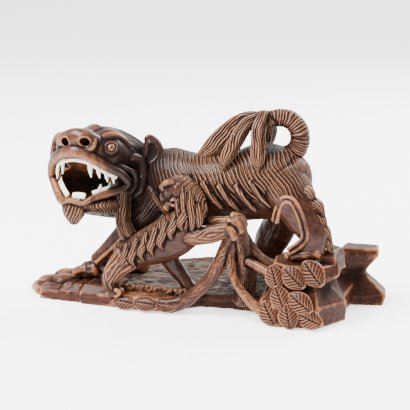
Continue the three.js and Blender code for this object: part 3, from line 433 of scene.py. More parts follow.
def lips_and_scrolls():
    """The lips, the curling lid and the scroll over the cheek, with the far side in keeping."""
    upper_lip = head_limb(
        [[12, -33.5, -9, 3, 3.4], [17, -30, -1, 3.2, 4], [23, -21, 4, 3.4, 4.6],
         [27.5, -11, 6, 3.6, 4.6], [28.5, -3, 6, 3.6, 4.6], [26, 4, 4.5, 3.4, 4.4],
         [20.5, 11, 0.5, 3, 4], [13.5, 16.5, -3, 2.8, 3.6], [6, 21, -5.8, 2.6, 3.2],
         [-0.5, 24, -10.5, 2.6, 3]]
    )
    lower_lip = head_limb(
        [[-1, 24, -11, 2.6, 2.8], [0.5, 21, -15.5, 2.4, 2.8], [8.5, 14, -20, 2.4, 2.8],
         [15, 7, -24.5, 2.4, 2.6], [19, 1.5, -29, 2.6, 2.4], [20.5, -6.5, -27.5, 2.6, 2.4],
         [19, -16.5, -28, 2.6, 2.6], [14.5, -25.5, -20.5, 2.6, 3], [12, -32.5, -11, 2.8, 3]]
    )
    outer_lip = head_limb(
        [[13, 17, 1.5, 1.7, 1.7], [5, 21.5, -1.2, 1.9, 1.9], [-3, 25.5, -4, 2.1, 2.1],
         [-5.5, 26.5, -10, 2.2, 2.2], [-4.5, 24.5, -16, 2.1, 2.1], [0, 19.5, -20.5, 1.8, 1.8]]
    )
    scroll = head_limb(
        [[1, 19.5, 3.5, 2.8, 2.8], [-3.5, 23, 6.8, 4, 3.8], [-9.5, 25.5, 5, 4.6, 4.4],
         [-11.5, 27.5, -2, 4.5, 4.4], [-11, 28, -8.5, 4.3, 4.2], [-11, 26.5, -14.5, 4.3, 4],
         [-8.5, 22.5, -19.5, 3.2, 3.2]]
    )
    lid = head_limb(
        [[17, 7.5, 8.5, 1.6, 1.6], [15.5, 11, 4, 1.9, 1.9], [11.5, 15.5, 1.6, 2, 2],
         [5, 19, 1.2, 2, 2], [0, 21, 3.5, 1.8, 1.8]]
    )
    far_scroll = head_limb(
        [[8, -34, 4, 3, 3], [1, -33, 6, 3.8, 3.6], [-6, -30, 3, 4, 3.8], [-9, -29, -5, 3.8, 3.8],
         [-8, -28, -13, 3.4, 3.4]]
    )
    pad = head_limb([[14, 12, 0.5, 4, 4], [7, 17, -1, 4.4, 4], [-1, 20, -4, 4.4, 5]])
    return [pad, upper_lip, lower_lip, outer_lip, scroll, lid, far_scroll]


def lower_jaw():
    """The lower jaw, throat, cheeks and grooved beard."""
    jaw = head_limb(
        [[-26, 8, -18, 15, 15], [-14, 4, -23, 19, 12], [-2, -1, -27, 21, 8], [9, -5, -29.5, 18, 5],
         [16, -7, -30, 12, 4]], hair="coat"
    )
    near_cheek = head_limb(
        [[-12, 17, -4, 9, 12], [-8, 18.5, -14, 8, 9], [-2, 15, -22, 7, 7]], up=FORWARD
    )
    far_cheek = head_limb(
        [[2, -25, -2, 9, 10], [3, -26, -12, 8, 8], [6, -24, -22, 7, 6]], up=FORWARD
    )
    beard = head_limb(
        [[18.5, -7, -28, 10, 3], [17.5, -7.5, -33, 9.5, 4.5], [16, -8, -38, 7.5, 4.5],
         [14.5, -8, -42, 3.5, 2.5]], flute=0.07, up=FORWARD, hair="along"
    )
    throat = head_limb(
        [[-26, 6, -8, 17, 20], [-14, 1, -9, 21, 18], [-5, -2, -10, 22.5, 17], [2, -3, -11, 22, 15]]
    )
    return [jaw, throat, near_cheek, far_cheek, beard]


def ear(side, offset):
    """An ear is a pointed leaf of wood with a scooped hollow: the leaf, and the space to scoop."""

    def place(rows):
        """The rows moved forward and outward, on one side or the other."""
        return [[a + 8.5, side * (b + 3.5) + offset, c, w, h] for a, b, c, w, h in rows]

    shell = head_limb(place(
        [[-22, 20, 2, 3.5, 4], [-24, 25, 6, 4.2, 7], [-25, 27.5, 12, 4.4, 8], [-24, 26.5, 18.5, 3.8, 6.6],
         [-22, 24, 23.8, 2.4, 3.2]]
    ))
    hollow = head_limb(place([[-19.5, 27, 6, 1.8, 2.6], [-20.5, 29.5, 12, 2.6, 4.6], [-20, 28, 18, 2, 3.2]]))
    return shell, hollow


def mouth_hollow():
    """The space inside the open mouth."""
    return head_limb(
        [[42, -6, -10, 21, 11], [27, -6, -11, 22, 12.2], [15, -6, -12, 22.5, 12.4],
         [5, -4, -12.5, 19, 10.5], [-4, -2, -12.5, 13, 6.5]]
    )


def nostrils():
    """The two nostrils."""
    return [head_limb([[36, b, 11.2, 3.9, 3.4], [25, b * 0.8, 13, 3, 2.6]]) for b in (-11, 5.8)]


# Where the eyes sit and which way they look: the lion's in the head's own frame, the cub's in the carver's
NEAR_EYE, NEAR_LOOK = (15, 17.2, 10.2), (0.75, 0.62, 0.2)
FAR_EYE, FAR_LOOK = (15.5, -25.5, 11), (0.75, -0.6, 0.2)
CUB_NEAR_EYE, CUB_NEAR_LOOK = (-15.2, -41.2, 86.5), (-0.5, -0.85, 0.1)
CUB_FAR_EYE, CUB_FAR_LOOK = (-17.6, -29.5, 88), (-0.9, 0.4, 0.1)

# The tooth strips in the head's own frame: a strip's path, with its half height where it isn't the gum's,
# then each tooth's root, the way from root to tip, and its width
TEETH = {
    "upper_teeth": (
        [[14, -27.5, -7], [18.5, -24, -2.5], [22.5, -17, 0.2], [24.5, -9, 1.2], [25, -2, 1],
         [22.5, 4.5, -0.3], [18.5, 9.5, -3], [12.5, 14, -5.8], [6, 17.8, -8]],
        [[17.5, -24.5, -4, -1, -0.5, -7.5, 3], [21.5, -17.5, -1, -0.4, 0.2, -7.5, 3],
         [21.5, 5.5, -1.5, -1, 1.4, -9.2, 4.4], [17.5, 10, -4, -0.6, 1.6, -6.6, 4],
         [12.5, 13.6, -7, -0.6, 1.2, -5.4, 3.6], [8, 16.4, -8.4, -0.6, 0.6, -4.4, 3]],
    ),
    "lower_near_teeth": (
        [[13.5, 4.6, -21.2], [8.5, 10.4, -17.8], [4, 15.2, -14.6], [1.5, 17.6, -12.4]],
        [[10.5, 8, -18.5, 0.4, 0.6, 4.4, 3.6], [6, 13, -15.4, 0.4, 0.8, 4.2, 3.4],
         [2.6, 16.8, -12.8, 0.2, 0.4, 3.8, 2.6]],
    ),
    "lower_far_teeth": (
        [[17, -14, -23.4], [15.2, -19.5, -18.5], [13.6, -24.6, -12.6]],
        [[14, -23.6, -13.4, 0.6, 0.8, 3.4, 2.4]],
    ),
    "lower_front_teeth": ([[18.2, -8.4, -23.6, 2.4], [18.8, -3, -23.4, 2.4], [17.8, 1.4, -23.8, 2.2]], []),
}


def tooth_run(path, teeth):
    """A gum strip along a path with a curved, pointed tooth at each listed place, the strip first."""
    rows = [[*row[:3], TOOTH_THICKNESS / 2, row[3] if len(row) > 3 else GUM_HEIGHT] for row in path]
    made = [head_limb(rows, dome=0.3, fine=0.5)]
    for a, b, c, da, db, dc, width in teeth:
        middle = [a + da * 0.35, b + db * 0.35, c + dc * 0.5, width * 0.30, width * 0.36]
        tip = [a + da, b + db, c + dc, 0.35, 0.4]
        root = [a - da * 0.2, b - db * 0.2, c - dc * 0.2, width * 0.40, width * 0.48]
        made.append(head_limb([root, middle, tip], up=FORWARD, dome=0.7, fine=0.4))
    return made


def cub_body():
    """The cub's trunk, curled head and mane."""
    body = limb(
        [[-49, -29, 35, 11, 11], [-37, -30, 40, 12, 12], [-24, -31.5, 46, 12, 14],
         [-11, -32.5, 53, 12, 15], [-1, -33, 61, 11, 14]], hair="cub"
    )
    head = limb(
        [[-13, -34, 84.5, 8.5, 8], [-7, -33, 85, 10.5, 10], [0, -32.5, 80, 10.5, 10.5],
         [3.5, -32, 72, 9.5, 9.5], [4, -32, 65, 7, 7.5]], hair="mane"
    )
    brow = limb(
        [[-17, -39.5, 87.5, 1.9, 1.9], [-13.5, -40.5, 90.5, 2.2, 2.2], [-9, -40, 91, 2.2, 2.2],
         [-5.5, -39.5, 88.5, 1.7, 1.7]]
    )
    snout = limb([[-14, -35, 81, 5.5, 4.5], [-17.5, -36, 80, 4, 3.4]])
    chin = limb([[-12, -36, 77, 4.5, 4], [-15, -37, 73, 2.6, 2.6]])
    ear_loop = limb(
        [[-9, -42.5, 79.5, 1.1, 1.1], [-6.8, -42.8, 80.6, 1.3, 1.3], [-5, -42.5, 78.5, 1.3, 1.3],
         [-6.4, -42.2, 76.4, 1.2, 1.2], [-8.6, -41.8, 76.2, 1, 1]]
    )
    crest = limb(
        [[-11, -29, 92, 3, 2.6], [-4, -28, 91, 3.4, 3], [3, -28, 86, 3.4, 3],
         [7, -29, 79, 2.6, 2.6]], hair="along"
    )
    return [body, head, brow, snout, chin, ear_loop, crest]


def cub_locks():
    """Wavy locks that hang from the cub's back over its flank, and four from its mane over its neck."""
    made = []
    for i in range(7):
        x = -44 + i * 7.4
        top = 44 + i * 4.6 + max(0, i - 4) * 2.4
        out = -41.5 - min(i, 4) * 0.7
        made.append(lock([
            [x + 1, out + 3, top, 2.6, 2.4], [x + 0.5, out, top - 6, 3, 2.6],
            [x - 2, out - 0.5, top - 12, 2.6, 2.4], [x - 0.5, out + 1.5, top - 17.5, 1, 1],
        ]))
    mane = ((-3.5, -42, 87, 59), (0.5, -42.8, 88, 57.5), (5, -42.3, 85, 58), (9, -40.5, 79, 60))
    for x, out, top, low in mane:
        drop = top - low
        made.append(lock([
            [x - 2, out + 3, top, 2.4, 2.2], [x, out, top - drop * 0.3, 3, 2.6],
            [x + 1.6, out - 0.6, top - drop * 0.65, 2.8, 2.4], [x + 0.4, out + 0.6, low, 1, 1],
        ]))
    return made


def cub_legs():
    """The cub's legs, arms and fists."""
    near_hind = limb(
        [[-45, -36, 35, 8, 10], [-52, -38, 27, 6.5, 7.5], [-56, -38.5, 18, 5.5, 6.2],
         [-54, -39, 11, 5, 5.6]], up=FORWARD, hair="cub_leg"
    )
    near_paw = limb([[-56, -39, 11, 5, 4.4], [-48, -40, 10.5, 4.6, 4]])
    claw = limb([[-50, -43.5, 9, 1.6, 1.6], [-47, -44, 12, 1.7, 1.7], [-50, -44, 14, 1.5, 1.5]])
    far_hind = limb(
        [[-22, -24, 41, 8, 8], [-16, -22, 30, 6, 6], [-8, -21, 20, 5, 5], [-3, -22, 14, 5, 5],
         [3, -23, 12.5, 4.5, 4]], up=FORWARD
    )
    near_arm = limb(
        [[-4, -36, 56, 7.5, 8.5], [8, -38, 55.5, 6, 6.6], [19, -37.5, 57.5, 5.4, 6],
         [29, -36, 61, 5, 5.4]], hair="arm"
    )
    far_arm = limb([[0, -27, 64, 5, 5], [12, -26, 63.5, 4, 3.6], [26, -25.5, 64.5, 4, 3.6]], hair="arm")
    fists = [
        limb([[x - 3, y, z + 1.5, 3, 3.4], [x + 3, y, z + 0.5, 3, 3.4], [x + 6, y, z - 4, 2.4, 2.4]])
        for x, y, z in ((29, -38, 60), (32, -34, 64), (33, -29, 67))
    ]
    return [near_hind, near_paw, claw, far_hind, near_arm, far_arm, *fists]


def cub_tail():
    """The cub's tail, a grooved column under the lion's jaw."""
    return limb(
        [[-40, -29, 44, 6, 6], [-46, -29, 49, 6, 6], [-50, -28, 57, 5.8, 5.8],
         [-51, -27, 67, 5.8, 5.8], [-51, -26, 78, 5.8, 5.8]], flute=0.06, up=FORWARD, hair="along"
    )


def ground():
    """The ground of the base, low along the showing side and banked up behind, from cross sections."""
    table = np.array([
        (-129, -17, -8, 4, 4.5, 5), (-119, -29, 2, 7, 8, 8), (-100, -34, 18, 9.5, 11, 11),
        (-76, -35, 32, 10, 12, 13), (-50, -39, 40, 9, 12, 15), (-30, -39, 44, 8, 12, 18),
        (-12, -34, 47, 7.5, 14, 20), (4, -19, 49, 9, 16, 21), (24, -17, 50, 10, 21, 24),
        (46, -19, 50, 13, 27, 28), (66, -22, 49, 22, 29, 30), (88, -12, 44, 24, 26, 26),
        (101, -2, 36, 12, 14, 16),
    ], float)
    x, near, far, low, mid, high = table.T
    corners = [
        (near, 0 * x), (near - 0.01, low * 0.8), (near + 2.5, low),
        (near * 0.35 + far * 0.65, mid), (far - 2.5, high), (far, high - 3), (far, 0 * x),
    ]
    rings = np.stack([np.stack([x, y, z], -1) for y, z in corners], 1)
    verts = np.vstack([rings.reshape(-1, 3), rings[0].mean(0), rings[-1].mean(0)])
    return plain(verts, ring_faces(len(table), len(corners)))


def left_blocks():
    """Stepped blocks along the left of the showing side, with low humps behind them."""
    edges = [-113, -96.5, -88, -79.5, -54]
    blocks = []
    sizes = ((0, 10), (0.4, 11.5), (0.6, 12), (3, 13))
    for left, end, (forward, top) in zip(edges, edges[1:], sizes):
        near, left, end = -37.6 - forward, left + 0.5, end - 0.5
        blocks.append(stone([
            [0, [left, near], [end, near - 0.6], [end, -8], [left, -8]],
            [top * 0.62, [left, near], [end, near - 0.8], [end, -8], [left, -8]],
            [top, [left + 1, near + 5], [end - 1, near + 5], [end - 1, -8], [left + 1, -8]],
        ]))
    humps = [
        blob((-113, -18, 8), (9, 8, 4.5)), blob((-101, -20, 10), (8, 8, 5)),
        blob((-106, -5, 9), (10, 8, 5.5)), blob((-95, 2, 11), (10, 9, 5)), blob((-64, -20, 11), (9, 8, 5)),
    ]
    return [*blocks, *humps]


def mound():
    """The mound at the foot of the cub, under its leaves."""
    return [limb([[-54, -34, 4, 8, 6], [-34, -36, 5, 8, 6.5], [-14, -34, 5, 8, 6]])]


def mound_leaves():
    """Three leaves along the front of the mound and four lying on it."""
    front = [
        leaf(centre, [1, 0.1, -0.12], [0, -0.85, 0.55], 18, 11)
        for centre in ((-43, -44, 5.6), (-27.5, -44.6, 6.2), (-13.5, -42, 6.2))
    ]
    top = []
    lying = ((-46, -33, 11.5, 30), (-33, -34, 12, -20), (-20, -33, 12, 30), (-9, -34, 10.5, -15))
    for x, y, z, angle in lying:
        along = [math.cos(math.radians(angle)), math.sin(math.radians(angle)), 0]
        top.append(leaf([x, y, z - 1], along, [0, -0.3, 1], 15, 8))
    return [*front, *top]


def roots():
    """Roots that arch from the ground to the stump where the cub rests its paws."""
    arch = limb(
        [[-12, -39, 5, 5.5, 5], [-2, -39, 8.5, 5, 4.6], [7, -38, 16, 4.6, 4.4],
         [15.5, -36, 25, 4.6, 4.6], [22, -34, 36, 4.8, 5], [26.5, -32, 48, 4.6, 5],
         [30, -31, 57, 5, 5]], up=AWAY, hair="root"
    )
    inner = limb(
        [[32, -31, 54, 4, 3.6], [30.5, -34, 40, 3.4, 3], [34, -37, 28, 3, 2.6],
         [41, -39, 19, 3, 2.6], [50, -41, 11.5, 3.6, 3], [58, -41, 7, 4, 4]], up=AWAY, hair="root"
    )
    stump = limb(
        [[34.5, -30, 68, 5, 5.5], [35, -29, 58, 6, 6], [37, -27, 46, 7, 6.5], [39, -25, 34, 8, 7.5],
         [38, -23, 22, 9, 7], [36, -21, 10, 10, 8]], up=FORWARD, flute=0.05, hair="bark"
    )
    slab = limb(
        [[37, -27, 54, 4, 5], [41.5, -25, 46, 5, 5], [48.5, -23, 38, 6, 5], [57, -21, 33.5, 6, 5.5]],
        hair="bark"
    )
    branch = limb([[42, -31, 39, 3, 3], [52, -34, 36, 3, 3], [62, -37, 33, 3.4, 3.4]])
    return [arch, inner, stump, slab, branch]


def near_rock():
    """The right-hand rock, waisted between its ledge and its foot."""
    body = stone(
        [[0, [54, -38], [66, -47], [94, -41], [106, -14], [97, 6], [62, 8], [48, -16]],
         [14, [52, -38], [64, -46], [94, -42], [107, -18], [98, 4], [62, 8], [47, -16]],
         [26, [60, -33], [68, -38], [90, -36], [95, -20], [93, 3], [64, 6], [54, -14]],
         [32, [57, -34], [67, -41], [92, -38], [103, -22], [98, 3], [64, 6], [54, -14]],
         [40, [60, -31], [69, -36], [93, -34], [102, -20], [97, 3], [64, 6], [56, -12]]]
    )
    block = stone(
        [[34, [90, -24], [100, -24], [103, -4], [90, 4]], [44, [90, -22], [100, -22], [102, -4],
         [90, 3]], [48, [91, -17], [97, -17], [99.5, -5], [91, 2]]]
    )
    hollow = limb([[45, -52, 21, 6.5, 7], [50, -36, 23, 7, 8], [54, -24, 23, 4.5, 5]])
    return [body, block], hollow


def rock_leaves():
    """The eight veined leaves on the showing face of the right-hand rock."""
    made = []
    for x, y, z, angle, length, width in (
        (63.5, -40, 32, -70, 17, 13.5), (77, -42, 33.5, -40, 19, 15), (89.5, -40, 37, -50, 20, 16),
        (69, -45, 19.5, -65, 18, 14), (83, -46, 18, -35, 19, 14.5), (61.5, -45, 8.5, -60, 18, 15),
        (75.5, -48, 8.5, -75, 17, 14.5), (89.5, -46, 7.5, -20, 18, 13.5),
    ):
        along = [math.cos(math.radians(angle)), 0, math.sin(math.radians(angle))]
        made.append(leaf([x, y, z], along, [0.05, -1, 0.25], length, width))
    return made


def fishtail_rock():
    """The fishtail rock behind, waisted in the same way."""
    return stone([
        [0, [88, 18], [122, 27], [118.5, 48], [90, 50]],
        [7, [88, 19], [124, 29], [119.5, 49], [90, 50]],
        [20, [91, 24], [109, 31], [105.5, 44], [92, 46]],
        [24, [91, 24], [109, 31], [105.5, 44], [92, 46]],
        [35, [88, 23], [118, 29.5], [114, 47], [90, 48]],
        [39.5, [91, 27], [117.5, 31], [114.5, 45], [91, 44]],
    ])


def grass():
    """Short blades that curl out of the mound's top, in tufts of nine."""
    rng = np.random.default_rng(NOISE_SEED)
    tufts = (
        (-55, -31), (-49, -29), (-41, -30), (-36, -27.5), (-27, -29), (-22, -27), (-13, -29.5), (-7, -28),
    )
    made = []
    for x, y in tufts:
        for _ in range(9):
            way = math.radians(rng.uniform(-85, 85) - 90)
            reach, height = rng.uniform(4, 9), rng.uniform(2.0, 4.5)
            dx, dy = math.cos(way) * reach, math.sin(way) * reach
            made.append(limb([
                [x, y, 9.5, 1.2, 1.0], [x + dx * 0.5, y + dy * 0.5, 10.5 + height, 1.1, 0.8],
                [x + dx, y + dy, 10.5 + height * 0.3, 0.35, 0.35]], fine=1.2))
    return made


# Meshes: joining, evening out and smoothing


def mesh_of(name, verts, faces):
    """A mesh datablock from points in millimetres and faces."""
    mesh = bpy.data.meshes.new(name)
    mesh.from_pydata(np.asarray(verts, float).tolist(), [], faces)
    mesh.update()
    return mesh


def gathered(skins):
    """All the skins' points and faces as one list each."""
    start, verts, faces = 0, [], []
    for s in skins:
        verts.append(s.verts)
        faces += [tuple(i + start for i in f) for f in s.faces]
        start += len(s.verts)
    return np.vstack(verts), faces


def hold(name, data):
    """A new object in the scene with this mesh, light or camera."""
    obj = bpy.data.objects.new(name, data)
    bpy.context.scene.collection.objects.link(obj)
    return obj


def joined(name, skins):
    """A new object from all the skins together, as they are."""
    return hold(name, mesh_of(name, *gathered(skins)))


def baked(obj):
    """Applies the object's modifiers to its mesh."""
    graph = bpy.context.evaluated_depsgraph_get()
    made = bpy.data.meshes.new_from_object(obj.evaluated_get(graph))
    old = obj.data
    obj.modifiers.clear()
    obj.data = made
    bpy.data.meshes.remove(old)


def evened(obj, voxel):
    """Turns the object into one closed skin of even quads round everything in it."""
    mod = obj.modifiers.new("Even", "REMESH")
    mod.mode = "VOXEL"
    mod.voxel_size = voxel
    baked(obj)


def cut(obj, skins):
    """Takes the space inside the skins away from the object."""
    tool = joined("cutter", skins)
    mod = obj.modifiers.new("Cut", "BOOLEAN")
    mod.operation = "DIFFERENCE"
    mod.solver = "MANIFOLD"
    mod.object = tool
    baked(obj)
    bpy.data.objects.remove(tool)


def points_of(mesh, field="co"):
    """The mesh's points or point normals as an array."""
    values = np.empty(len(mesh.vertices) * 3)
    if field == "co":
        mesh.vertices.foreach_get("co", values)
    else:
        mesh.vertex_normals.foreach_get("vector", values)
    return values.reshape(-1, 3)


def pairs_of(mesh):
    """The edges as pairs of point numbers."""
    edges = np.empty(len(mesh.edges) * 2, np.int64)
    mesh.edges.foreach_get("vertices", edges)
    return edges.reshape(-1, 2)


def move_points(mesh, points):
    """Writes the points back to the mesh."""
    mesh.vertices.foreach_set("co", points.ravel())
    mesh.update()


def averaged(values, edges, rounds=1):
    """Each point's mean over the points that it shares an edge with, taken so many times over."""
    count = len(values)
    ends = np.concatenate([edges[:, 0], edges[:, 1]])
    others = np.concatenate([edges[:, 1], edges[:, 0]])
    shared = np.maximum(np.bincount(ends, minlength=count), 1)[:, None]
    for _ in range(rounds):
        sums = [np.bincount(ends, column[others], count) for column in values.T]
        values = np.stack(sums, -1) / shared
    return values


def smoothed(points, edges, rounds, pull=0.5, push=-0.52):
    """Taubin smoothing: a pull to the neighbours' mean, then a slightly larger push back out."""
    for _ in range(rounds):
        for amount in (pull, push):
            points = points + amount * (averaged(points, edges) - points)
    return points


def noise(points, size, seed):
    """Smooth noise from about -1 to 1: nine sines in random directions, of odd wavelengths, added up."""
    rng = np.random.default_rng(NOISE_SEED + seed)
    total = np.zeros(len(points))
    for _ in range(9):
        way = unit(rng.normal(size=3)) * rng.uniform(0.6, 1.7) * 2 * math.pi / size
        total += np.sin(points @ way + rng.uniform(0, 6.3))
    return total / 3.6


def step_up(values, low, high):
    """0 below low, 1 above high, and a smooth rise between."""
    t = np.clip((values - low) / (high - low), 0, 1)
    return t * t * (3 - 2 * t)


def nearest_limb(points, skins):
    """For each point the limb whose surface is nearest: its number, the angle round it, and the
    distance along it.

    The gap to a limb is (the length of (x / w, y / h, z / m) - 1) * m, with w and h the half widths at
    the nearest centre and m the smaller of the two."""
    best = np.full(len(points), 1e9)
    owner = np.zeros(len(points), int)
    angle, along = np.zeros(len(points)), np.zeros(len(points))
    for k, s in enumerate(skins):
        reach = s.halves.max() * 2.2 + 4
        low, high = s.centres.min(0) - reach, s.centres.max(0) + reach
        near = np.flatnonzero(((points > low) & (points < high)).all(1))
        if not len(near):
            continue
        p = points[near]
        far = (p**2).sum(1)[:, None] - 2 * p @ s.centres.T + (s.centres**2).sum(1)[None, :]
        c = far.argmin(1)
        d = p - s.centres[c]
        w, h = s.halves[c, 0], s.halves[c, 1]
        x = np.einsum("ij,ij->i", d, s.sides[c])
        y = np.einsum("ij,ij->i", d, s.ups[c])
        z = np.einsum("ij,ij->i", d, s.alongs[c])
        size = np.minimum(w, h)
        gap = (np.sqrt((x / w) ** 2 + (y / h) ** 2 + (z / size) ** 2) - 1) * size
        closer = gap < best[near]
        hit = near[closer]
        best[hit] = gap[closer]
        owner[hit] = k
        angle[hit] = np.arctan2(y / h, x / w)[closer]
        along[hit] = (s.arc[c] + z)[closer]
    return owner, angle, along


def coat_line(points):
    """Strands that leave the spine downward and sweep back, more so towards the haunch.

    With r the way round the trunk from its spine and g = 0.3 r + 0.0062 r^2, the count is
    (x + 10 - g) / (1 + g / 85), so that the strands widen as they sweep back."""
    x, y, z = points.T
    round_way = np.abs(np.arctan2(y + 1.5, np.maximum(z - 84, -40) + 1e-6)) * 21
    g = 0.30 * round_way + 0.0062 * round_way**2
    return (x + 10 - g) / (1 + g / 85)


def strands(points, skins, spots):
    """For each point a count of millimetres across the strands, and how much hair there is, from 0 to 1.

    The style of the nearest limb says which: the angle round the limb times its mean half width, the
    way along it, or waves over x and z. Noise makes the strands wander."""
    owner, angle, along = spots
    mean = np.array([s.halves.mean() for s in skins])[owner]
    style = np.array([s.hair for s in skins])[owner]
    x, _, z = points.T
    line, hair = np.zeros(len(points)), np.zeros(len(points))
    coat = coat_line(points) * 1.35 + 1.5 * noise(points, 26, 5)
    belly = step_up(z + 1.8 * np.sin(x / 2.6), 75, 80)
    head_front, head_side, head_up = ((points - HEAD_PLACE) @ HEAD_TURN).T
    for name, value, amount in (
        ("along", np.abs(angle) * mean + 0.10 * along, 1.0),
        ("rings", along * 0.8, 0.9),
        ("coat", coat, np.maximum(belly, step_up(-x, 2, 14))),
        ("haunch", coat, step_up(z, 80, 86)),
        ("shoulder", np.abs(angle) * mean, step_up(z, 50, 62) * 0.8),
        ("skull", head_side + 0.35 * head_front, step_up(-head_front, -6, 4) * step_up(head_up, 6, 13)),
        ("cub", x + 0.45 * z + 1.3 * np.sin(z / 3.6), step_up(z - 0.62 * (x + 40), 31, 37)),
        ("cub_leg", np.abs(angle) * mean * 0.6, 0.75),
        ("mane", x * 1.2 - 0.35 * z + 1.3 * np.sin(z / 4.2), 0.35 + 0.65 * step_up(x, -3, 3)),
        ("root", np.abs(angle) * mean * 0.34 + 0.9 * np.sin(along / 6), 0.3),
        ("arm", np.abs(angle) * mean * 0.55 + 0.8 * np.sin(along / 5), 0.45),
        ("bark", np.abs(angle) * mean + 1.2 * np.sin(along / 4), 0.8),
    ):
        mine = style == name
        line[mine] = np.broadcast_to(value, len(points))[mine]
        hair[mine] = np.broadcast_to(amount, len(points))[mine]
    line += 0.75 * noise(points, 19, 1) + 0.14 * noise(points, 7, 2)
    return line, hair


# Where the colour is paler (above 0) or darker (below 0): partly the wood's own tone and handling, partly
# painted shade on shaded fronts, undersides and hollows and under the jaw, and painted light inside the
# mouth. A place, its reach in millimetres and the amount; first in the head's own frame, then in the
# carver's
HEAD_TONE_AND_SHADE = (
    (27, -4, 17, 12, 0.05), (26, -8, 7, 12, -0.05), (8, 21, 10, 12, -0.8), (17, 17, 10, 8, -1.1),
    (-15, 31, 14, 13, -1.0), (14, 2, -27, 13, -0.6), (0, 24, -10, 10, -0.6), (8, 18, -3, 10, -0.5),
    (25, 8, 12, 7, -0.5), (-8, 27, -6, 14, -0.85), (-24, 20, 8, 16, -0.45), (8, -4, -13, 13, 1.3),
    (-10, 5, -30, 14, -0.6), (-10, 2, 28, 15, -0.3),
)
BODY_TONE_AND_SHADE = (
    (-44, -8, 78, 22, -0.8), (-96, -36, 6, 19, -0.9), (-70, -37, 5, 15, -0.8), (-88, -12, 17, 14, -0.5),
    (4, -20, 4, 22, -0.9), (30, -20, 6, 20, -0.9), (82, -20, 26, 34, -0.6), (104, 36, 20, 26, -0.5),
    (50, 18, 50, 22, -0.4), (76, -24, 68, 19, -0.7), (20, 0, 62, 22, -0.3), (-20, -40, 30, 14, -0.2),
    (30, -34, 30, 20, -0.25), (10, -24, 92, 24, 0.35), (50, -22, 98, 20, 0.35), (-24, -20, 88, 14, 0.25),
    (45, -5, 122, 28, -0.65), (-14, -40, 84, 11, -1.2), (10, -38, 12, 22, -0.2),
)


def tone_and_painted_shade(points):
    """How much paler or darker the colour is, from the wood's own tone and from painted light and shade: the
    sum of amount * exp(-(distance / reach)^2).
    """
    total = np.zeros(len(points))
    rows = [(*in_head(row[:3]), *row[3:]) for row in HEAD_TONE_AND_SHADE]
    for x, y, z, reach, amount in (*rows, *BODY_TONE_AND_SHADE):
        total += amount * np.exp(-((points - (x, y, z)) ** 2).sum(1) / reach**2)
    return np.clip(total, -1.5, 1.3)


def ground_lines(points, skins, spots):
    """Wavy cuts along the level ground, as if water or grass ran over it."""
    x, y, z = points.T
    line = y * 0.9 + 2.2 * np.sin(x / 9) + 1.0 * np.sin(x / 4.1 + y / 6) + 0.5 * noise(points, 9, 6)
    inner = step_up(x, -66, -56) * step_up(-x, -58, -48) * step_up(y, -32, -26) * step_up(-y, -40, -32)
    return line, inner * 0.9 * step_up(z, 8.5, 10.5)


def note(mesh, name, values):
    """A number at each point of the mesh."""
    layer = mesh.attributes.get(name) or mesh.attributes.new(name, "FLOAT", "POINT")
    layer.data.foreach_set("value", np.asarray(values, np.float32))


def dressed(name, obj):
    """Moves the finished mesh into the row's frame in metres and shades it smooth."""
    mesh = obj.data
    points = (points_of(mesh) + SHIFT) / MM
    mesh.polygons.foreach_set("use_smooth", np.ones(len(mesh.polygons), bool))
    move_points(mesh, np.clip(points, np.array(CAD_LOW), np.array(CAD_HIGH)))
    obj.name = name
    mesh.name = name
    return obj


def finished_piece(name, obj, skins, rounds, locks, fine=0.24, wave=4.8, count=3, shade=1.0, flow=strands):
    """Smooths the joined skin, carves the locks into it and notes what the wood's colour needs.

    The carving moves a point along its normal by -locks * k * (1 - |sin(pi u / wave)|^0.8), where u
    counts across the strands and k is a patchy share from noise. The fine strands take away fine *
    (1 - |sin(pi u count / wave)|^0.8) more. Curvature is the bend of the surface; the colour is lighter on
    sharp edges, as from handling, and darker in creases with painted shade. Depth is how far the point
    stands out of the surface smoothed many times over, so it is below 0 in a hollow, where the colour
    gets painted shade. The tone and shade is the sum of listed spots of the wood's own tone and of painted
    light and shade."""
    mesh = obj.data
    edges = pairs_of(mesh)
    points = smoothed(points_of(mesh), edges, rounds)
    move_points(mesh, points)
    line, hair = flow(points, skins, nearest_limb(points, skins))
    hair = averaged(hair[:, None], edges, 2)[:, 0]
    big = np.abs(np.sin(math.pi * line / wave))
    small = np.abs(np.sin(math.pi * line / (wave / count)))
    uneven = np.clip(0.55 + 0.6 * noise(points, 15, 7), 0.05, 1.2)
    lift = -hair * (locks * uneven * (1 - big**LOCK_POWER) + fine * (1 - small**LOCK_POWER))
    lift += 0.10 * noise(points, 9, 4) * (1 - hair)
    points = points + points_of(mesh, "normal") * lift[:, None]
    points[:, 2] = np.maximum(points[:, 2], 0.0)
    move_points(mesh, points)
    normals = points_of(mesh, "normal")
    bend = np.einsum("ij,ij->i", points - averaged(points, edges, 2), normals)
    depth = np.einsum("ij,ij->i", points - averaged(points, edges, WIDE_ROUNDS), normals)
    size = np.median(np.linalg.norm(points[edges[:, 0]] - points[edges[:, 1]], axis=1))
    note(mesh, "strand", line * count / wave)
    # Listed spots of painted light and shade, together with the wood's own tone
    note(mesh, "rub", tone_and_painted_shade(points))
    note(mesh, "hair", hair)
    note(mesh, "wear", np.clip(bend / size * 5, -1, 1))
    note(mesh, "depth", np.clip(depth / DEEPEST, -shade, 1))
    return dressed(name, obj)


def carved(name, skins, voxel, rounds, hollows=(), after=(), **options):
    """One piece from many skins: joined into one skin, hollowed, joined with what is laid on after."""
    obj = joined(name, skins)
    evened(obj, voxel)
    if hollows:
        cut(obj, hollows)
    if after:
        verts, faces = gathered(after)
        mine = obj.data
        start = len(mine.vertices)
        both = [tuple(p.vertices) for p in mine.polygons] + [tuple(i + start for i in f) for f in faces]
        obj.data = mesh_of(name, np.vstack([points_of(mine), verts]), both)
    if hollows or after:
        evened(obj, voxel)
    return finished_piece(name, obj, [*skins, *after], rounds, **options)


# Materials


